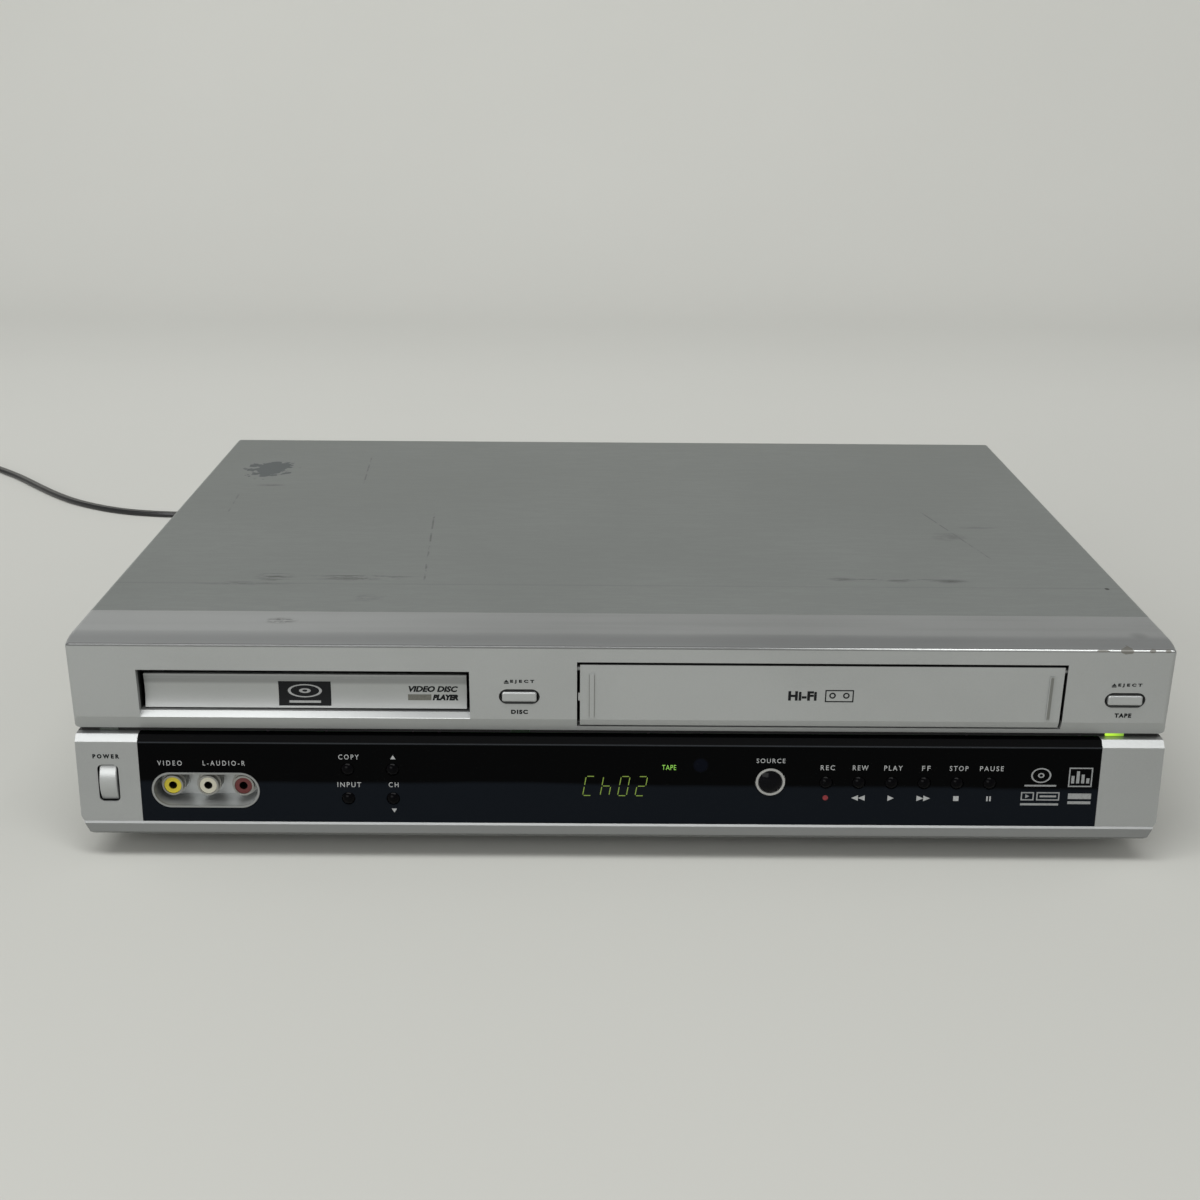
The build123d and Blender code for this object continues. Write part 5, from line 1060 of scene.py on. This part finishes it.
def window_words():
    """Names of the jacks and keys, and the signs under the keys."""
    face = "display_window"
    video_x, _ = middle_of("video_jack_insert")
    left_x, _ = middle_of("audio_left_jack_insert")
    right_x, _ = middle_of("audio_right_jack_insert")
    copy_x, copy_z = middle_of("copy_button")
    input_x, input_z = middle_of("input_button")
    channel_x, up_z = middle_of("channel_up_button")
    _, down_z = middle_of("channel_down_button")
    source_x, source_z = middle_of("source_button")
    prints = [
        word("VIDEO", face, video_x + 0.5, 41.4, 9.7, LETTER, spread=1.5),
        word("L-AUDIO-R", face, (left_x + right_x) / 2 + 0.8, 41.5, 16.7, LETTER, spread=1.5),
        word("COPY", face, copy_x + 0.6, copy_z + 5.3, 8.1, LETTER, spread=1.4),
        word("INPUT", face, input_x + 0.5, input_z + 5.9, 9.4, LETTER, spread=1.3),
        arrow(UP, face, channel_x + 0.3, up_z + 5.3, 2.1, 1.7),
        word("CH", face, channel_x + 0.3, input_z + 6.0, 3.9, LETTER, spread=1.4),
        arrow(DOWN, face, channel_x + 0.3, down_z - 5.2, 2.1, 1.7),
        word("SOURCE", face, source_x, source_z + 8.9, 11.4, SMALL_LETTER, spread=1.3),
    ]
    for button, text, width in KEY_ROW:
        x, z = middle_of(button)
        prints.append(word(text, face, x + 0.4, z + 6.4, width, LETTER, spread=1.35))
    record_x, rewind_x, play_x, forward_x, stop_x, pause_x = (middle_of(key)[0] for key, *_ in KEY_ROW)
    sign_z = middle_of("play_button")[1] - SIGNS_BELOW
    for x, turn in ((rewind_x, LEFT), (forward_x, RIGHT)):
        prints += [arrow(turn, face, x + shift, sign_z, 2.7, 2.4) for shift in (-1.35, 1.35)]
    prints.append(arrow(RIGHT, face, play_x, sign_z, 2.5, 2.4))
    prints.append(bar(face, stop_x, sign_z, 2.1, 2.1))
    prints += [bar(face, pause_x + shift, sign_z, 0.6, 2.1) for shift in (-0.6, 0.6)]
    together("window_words", ink_pale, prints)
    together("record_dot", ink_red, [sign(20, UP, face, record_x, sign_z, 2.2, 2.2)])


def window_signs():
    """Plain signs at the window's right end: a disc, bars of sound, a screen and a pair of blocks."""
    face = "display_window"
    prints = [
        ring(40, face, 167.2, 38.3, 8.0, 6.4, hole=0.84),
        ring(28, face, 167.2, 38.3, 2.6, 2.1, hole=0.55),
        bar(face, 167.2, 33.9, 12.6, 0.7),
        *border(face, 182.9, 37.6, 9.4, 8.3),
        bar(face, 179.9, 36.6, 1.2, 3.2),
        bar(face, 181.9, 37.6, 1.2, 5.2),
        bar(face, 183.9, 36.9, 1.2, 3.8),
        bar(face, 185.9, 36.1, 1.2, 2.2),
        *border(face, 162.4, 29.3, 5.2, 3.6),
        *border(face, 170.6, 29.3, 9.2, 3.6),
        arrow(RIGHT, face, 162.4, 29.3, 1.6, 1.7),
        bar(face, 170.6, 29.3, 6.6, 0.8),
        bar(face, 167.4, 25.8, 15.2, 0.9),
        bar(face, 183.2, 29.4, 9.2, 2.4),
        bar(face, 183.2, 26.6, 9.2, 1.2),
    ]
    together("window_signs", ink_soft, prints)


# Bars of a digit: their column, their row from the foot, and whether they lie level
SEGMENTS = {
    "top": (0, 2, True),
    "middle": (0, 1, True),
    "bottom": (0, 0, True),
    "upper_left": (0, 1, False),
    "lower_left": (0, 0, False),
    "upper_right": (1, 1, False),
    "lower_right": (1, 0, False),
}
# Bars that are lit in each digit, from the left
DIGITS = (
    ("top", "upper_left", "lower_left", "bottom"),
    ("upper_left", "lower_left", "middle", "lower_right"),
    ("top", "upper_left", "lower_left", "bottom", "upper_right", "lower_right"),
    ("top", "upper_right", "middle", "lower_left", "bottom"),
)
# The digits' place and size, how far they lean, and a bar's width and the room at its ends
DIGIT_LEFT, DIGIT_FOOT, DIGIT_PITCH = -14.8, 28.5, 6.95
DIGIT_WIDTH, DIGIT_HALF, DIGIT_LEAN = 3.5, 4.15, 0.17
BAR_LINE, BAR_ROOM = 0.34, 0.42


def display_digits():
    """The lit channel number in slanted bars, and the lit word above it."""
    face = "display_window"
    prints = []
    for place, lit in enumerate(DIGITS):
        for segment in lit:
            column, row, level = SEGMENTS[segment]
            x = DIGIT_LEFT + place * DIGIT_PITCH + column * DIGIT_WIDTH
            z = DIGIT_FOOT + row * DIGIT_HALF
            if level:
                long = DIGIT_WIDTH - 2 * BAR_ROOM
                prints.append(bar(face, x + DIGIT_WIDTH / 2, z, long, BAR_LINE))
            else:
                long = DIGIT_HALF - 2 * BAR_ROOM
                prints.append(bar(face, x, z + DIGIT_HALF / 2, BAR_LINE, long))
    for piece in prints:
        for vertex in piece.data.vertices:
            vertex.co.x += DIGIT_LEAN * (vertex.co.z - DIGIT_FOOT * MM)
    together("display_digits", glow_digits, prints)
    lit_word = word("TAPE", face, 19.4, 40.8, 5.6, LETTER, spread=1.1, bold=-0.05)
    together("display_word", glow_word, [lit_word])


def tray_plate():
    """A dark plate with a ring sign in the tray front's middle, and two small words beside it."""
    face = "tray_front"
    on_tray = {"body": "disc_tray", "slot": "panel_silver"}
    x, z = -124.2, 69.6
    together("tray_plate", ink_dark, [bar(face, x, z, 20.6, 10.2, cuts=15)], **on_tray)
    signs = [
        ring(48, face, x, z + 1.0, 13.4, 5.6, hole=0.84, layer=2),
        ring(32, face, x, z + 1.0, 4.6, 2.0, hole=0.45, layer=2),
        bar(face, x, z - 3.5, 12.4, 0.9, layer=2),
    ]
    together("tray_sign", ink_pale, signs, **on_tray)
    words = [
        word("VIDEO DISC", face, -73.7, 71.6, 19.4, 2.6, spread=1.0, slant=0.25, bold=0.5),
        word("PLAYER", face, -69.0, 68.1, 10.2, 2.4, spread=1.0, slant=0.25, bold=0.8),
    ]
    together("tray_words", ink_dark, words, **on_tray)
    together("tray_stripe", ink_grey, [bar(face, -79.1, 68.1, 9.2, 2.4)], **on_tray)


def door_words():
    """A word and a cassette sign in the middle of the door."""
    face = "cassette_door"
    prints = [
        word("Hi-Fi", face, 70.9, 71.7, 11.2, 4.1, spread=1.05, bold=0.5),
        *border(face, 85.3, 71.7, 11.2, 5.3),
        ring(24, face, 82.6, 71.9, 2.6, 2.6, hole=0.55),
        ring(24, face, 88.0, 71.9, 2.6, 2.6, hole=0.55),
    ]
    together("door_words", ink_dark, prints, "cassette_door", "door_silver")


# Words on the rear: their X and height, and how wide they are
REAR_WORDS = (
    ("VIDEO", 26, 70.2, 8.4),
    ("L", 12, 70.2, 1.3),
    ("R", -2, 70.2, 1.6),
    ("AUDIO", 5, 74.6, 8.8),
    ("OUT", 37.5, 62, 5.2),
    ("IN", 37.5, 46, 2.6),
    ("ANTENNA", 150, 77.5, 13.5),
    ("IN", 160, 66, 2.6),
    ("OUT", 160, 44, 5.2),
)


def rear_words():
    """Names beside the jacks on the rear."""
    prints = [
        word(text, "rear_panel", x, z, width, LETTER, spread=1.2, bold=REAR_BOLD, way=-1)
        for text, x, z, width in REAR_WORDS
    ]
    together("rear_words", ink_white, prints, slot="rear_sheet")


panel_words()
rear_words()
window_words()
window_signs()
display_digits()
tray_plate()
door_words()

# The floor's size and middle, and how its back sweeps up, in metres
FLOOR_WIDTH, FLOOR_DEPTH, FLOOR_MIDDLE = 9, 7.8, -2.1
FLOOR_BACK = FLOOR_MIDDLE + FLOOR_DEPTH / 2
BACKDROP_LEAN, BACKDROP_HEIGHT = 0.3, 0.75
SWEEP_SIZE, SWEEP_STEPS = 0.6, 12
# Between which places in metres the paper turns from its near to its far shade
PAPER_CHANGE = -0.25, 0.95


def select_back_edge(floor):
    """Selects the edge along the floor's back."""
    corners = floor.data.vertices
    for edge in floor.data.edges:
        edge.select = all(abs(corners[corner].co.y - FLOOR_BACK) < MM for corner in edge.vertices)


def paper():
    """Pale paper, lighter towards the back."""
    finish = Finish("pale_paper", Roughness=0.8, Specular_IOR_Level=0.2)
    mottle = finish.noise(3.0, 3.0)
    near = finish.mix(mottle, tone(0.545, 0.55, 0.515), tone(0.565, 0.57, 0.535))
    far = finish.mix(mottle, tone(0.80, 0.81, 0.765), tone(0.83, 0.84, 0.795))
    finish.set(Base_Color=finish.mix(finish.ramp(finish.axis("Y"), *PAPER_CHANGE), near, far))
    return finish


def floor_and_backdrop():
    """A pale floor that sweeps up into a backdrop."""
    bpy.ops.object.select_all(action="DESELECT")
    bpy.ops.mesh.primitive_plane_add(size=1, location=(0, FLOOR_MIDDLE, 0))
    floor = bpy.context.object
    floor.name = "floor"
    bpy.ops.transform.resize(value=(FLOOR_WIDTH, FLOOR_DEPTH, 1))
    bpy.ops.object.transform_apply(location=True, rotation=True, scale=True)
    bpy.ops.object.mode_set(mode="EDIT")
    bpy.ops.mesh.select_all(action="DESELECT")
    bpy.ops.object.mode_set(mode="OBJECT")
    select_back_edge(floor)
    bpy.ops.object.mode_set(mode="EDIT")
    rise = (0, BACKDROP_LEAN, BACKDROP_HEIGHT)
    bpy.ops.mesh.extrude_edges_move(TRANSFORM_OT_translate={"value": rise})
    bpy.ops.object.mode_set(mode="OBJECT")
    select_back_edge(floor)
    bpy.ops.object.mode_set(mode="EDIT")
    bpy.ops.mesh.bevel(offset=SWEEP_SIZE, segments=SWEEP_STEPS)
    bpy.ops.object.mode_set(mode="OBJECT")
    bpy.ops.object.shade_smooth()
    floor.data.materials.append(paper().material)


def soft_light(name, place, target, size, power):
    """A rectangular lamp that faces a target."""
    data = bpy.data.lights.new(name, "AREA")
    data.shape, data.size, data.size_y, data.energy = "RECTANGLE", *size, power
    lamp = bpy.data.objects.new(name, data)
    way = Vector(target) - Vector(place)
    lamp.matrix_world = way.to_track_quat("-Z", "Y").to_matrix().to_4x4()
    lamp.matrix_world.translation = Vector(place)
    bpy.context.scene.collection.objects.link(lamp)


# The sky's dim part: how high its middle is, and between which nearnesses to that it comes
DIM_ELEVATION = radians(42)
DIM_NEARNESS = 0.55, 0.95


def soft_sky():
    """An even pale surround that is dimmer high up behind the object."""
    world = bpy.data.worlds.new("studio")
    bpy.context.scene.world = world
    world.use_nodes = True
    sky = Shading(world.node_tree)
    way = sky.node("ShaderNodeTexCoord", output="Generated")
    dim_way = (0, cos(DIM_ELEVATION), sin(DIM_ELEVATION))
    near = sky.node("ShaderNodeVectorMath", {"operation": "DOT_PRODUCT"}, {0: way, 1: dim_way}, "Value")
    color = sky.mix(sky.ramp(near, *DIM_NEARNESS), grey(0.43, -0.03), grey(0.10, -0.03))
    sky.feed(sky.tree.nodes["Background"].inputs["Color"], color)


def studio():
    """Floor, surround and two soft lamps."""
    floor_and_backdrop()
    soft_sky()
    soft_light("key", place=(-0.18, -0.85, 2.0), target=(0, -0.17, 0.05), size=(2.4, 0.6), power=30)
    soft_light("fill", place=(-0.9, -2.0, 0.9), target=(0, -0.1, 0.05), size=(1.4, 1.0), power=15)
    bpy.context.scene.view_settings.view_transform = "Standard"


studio()
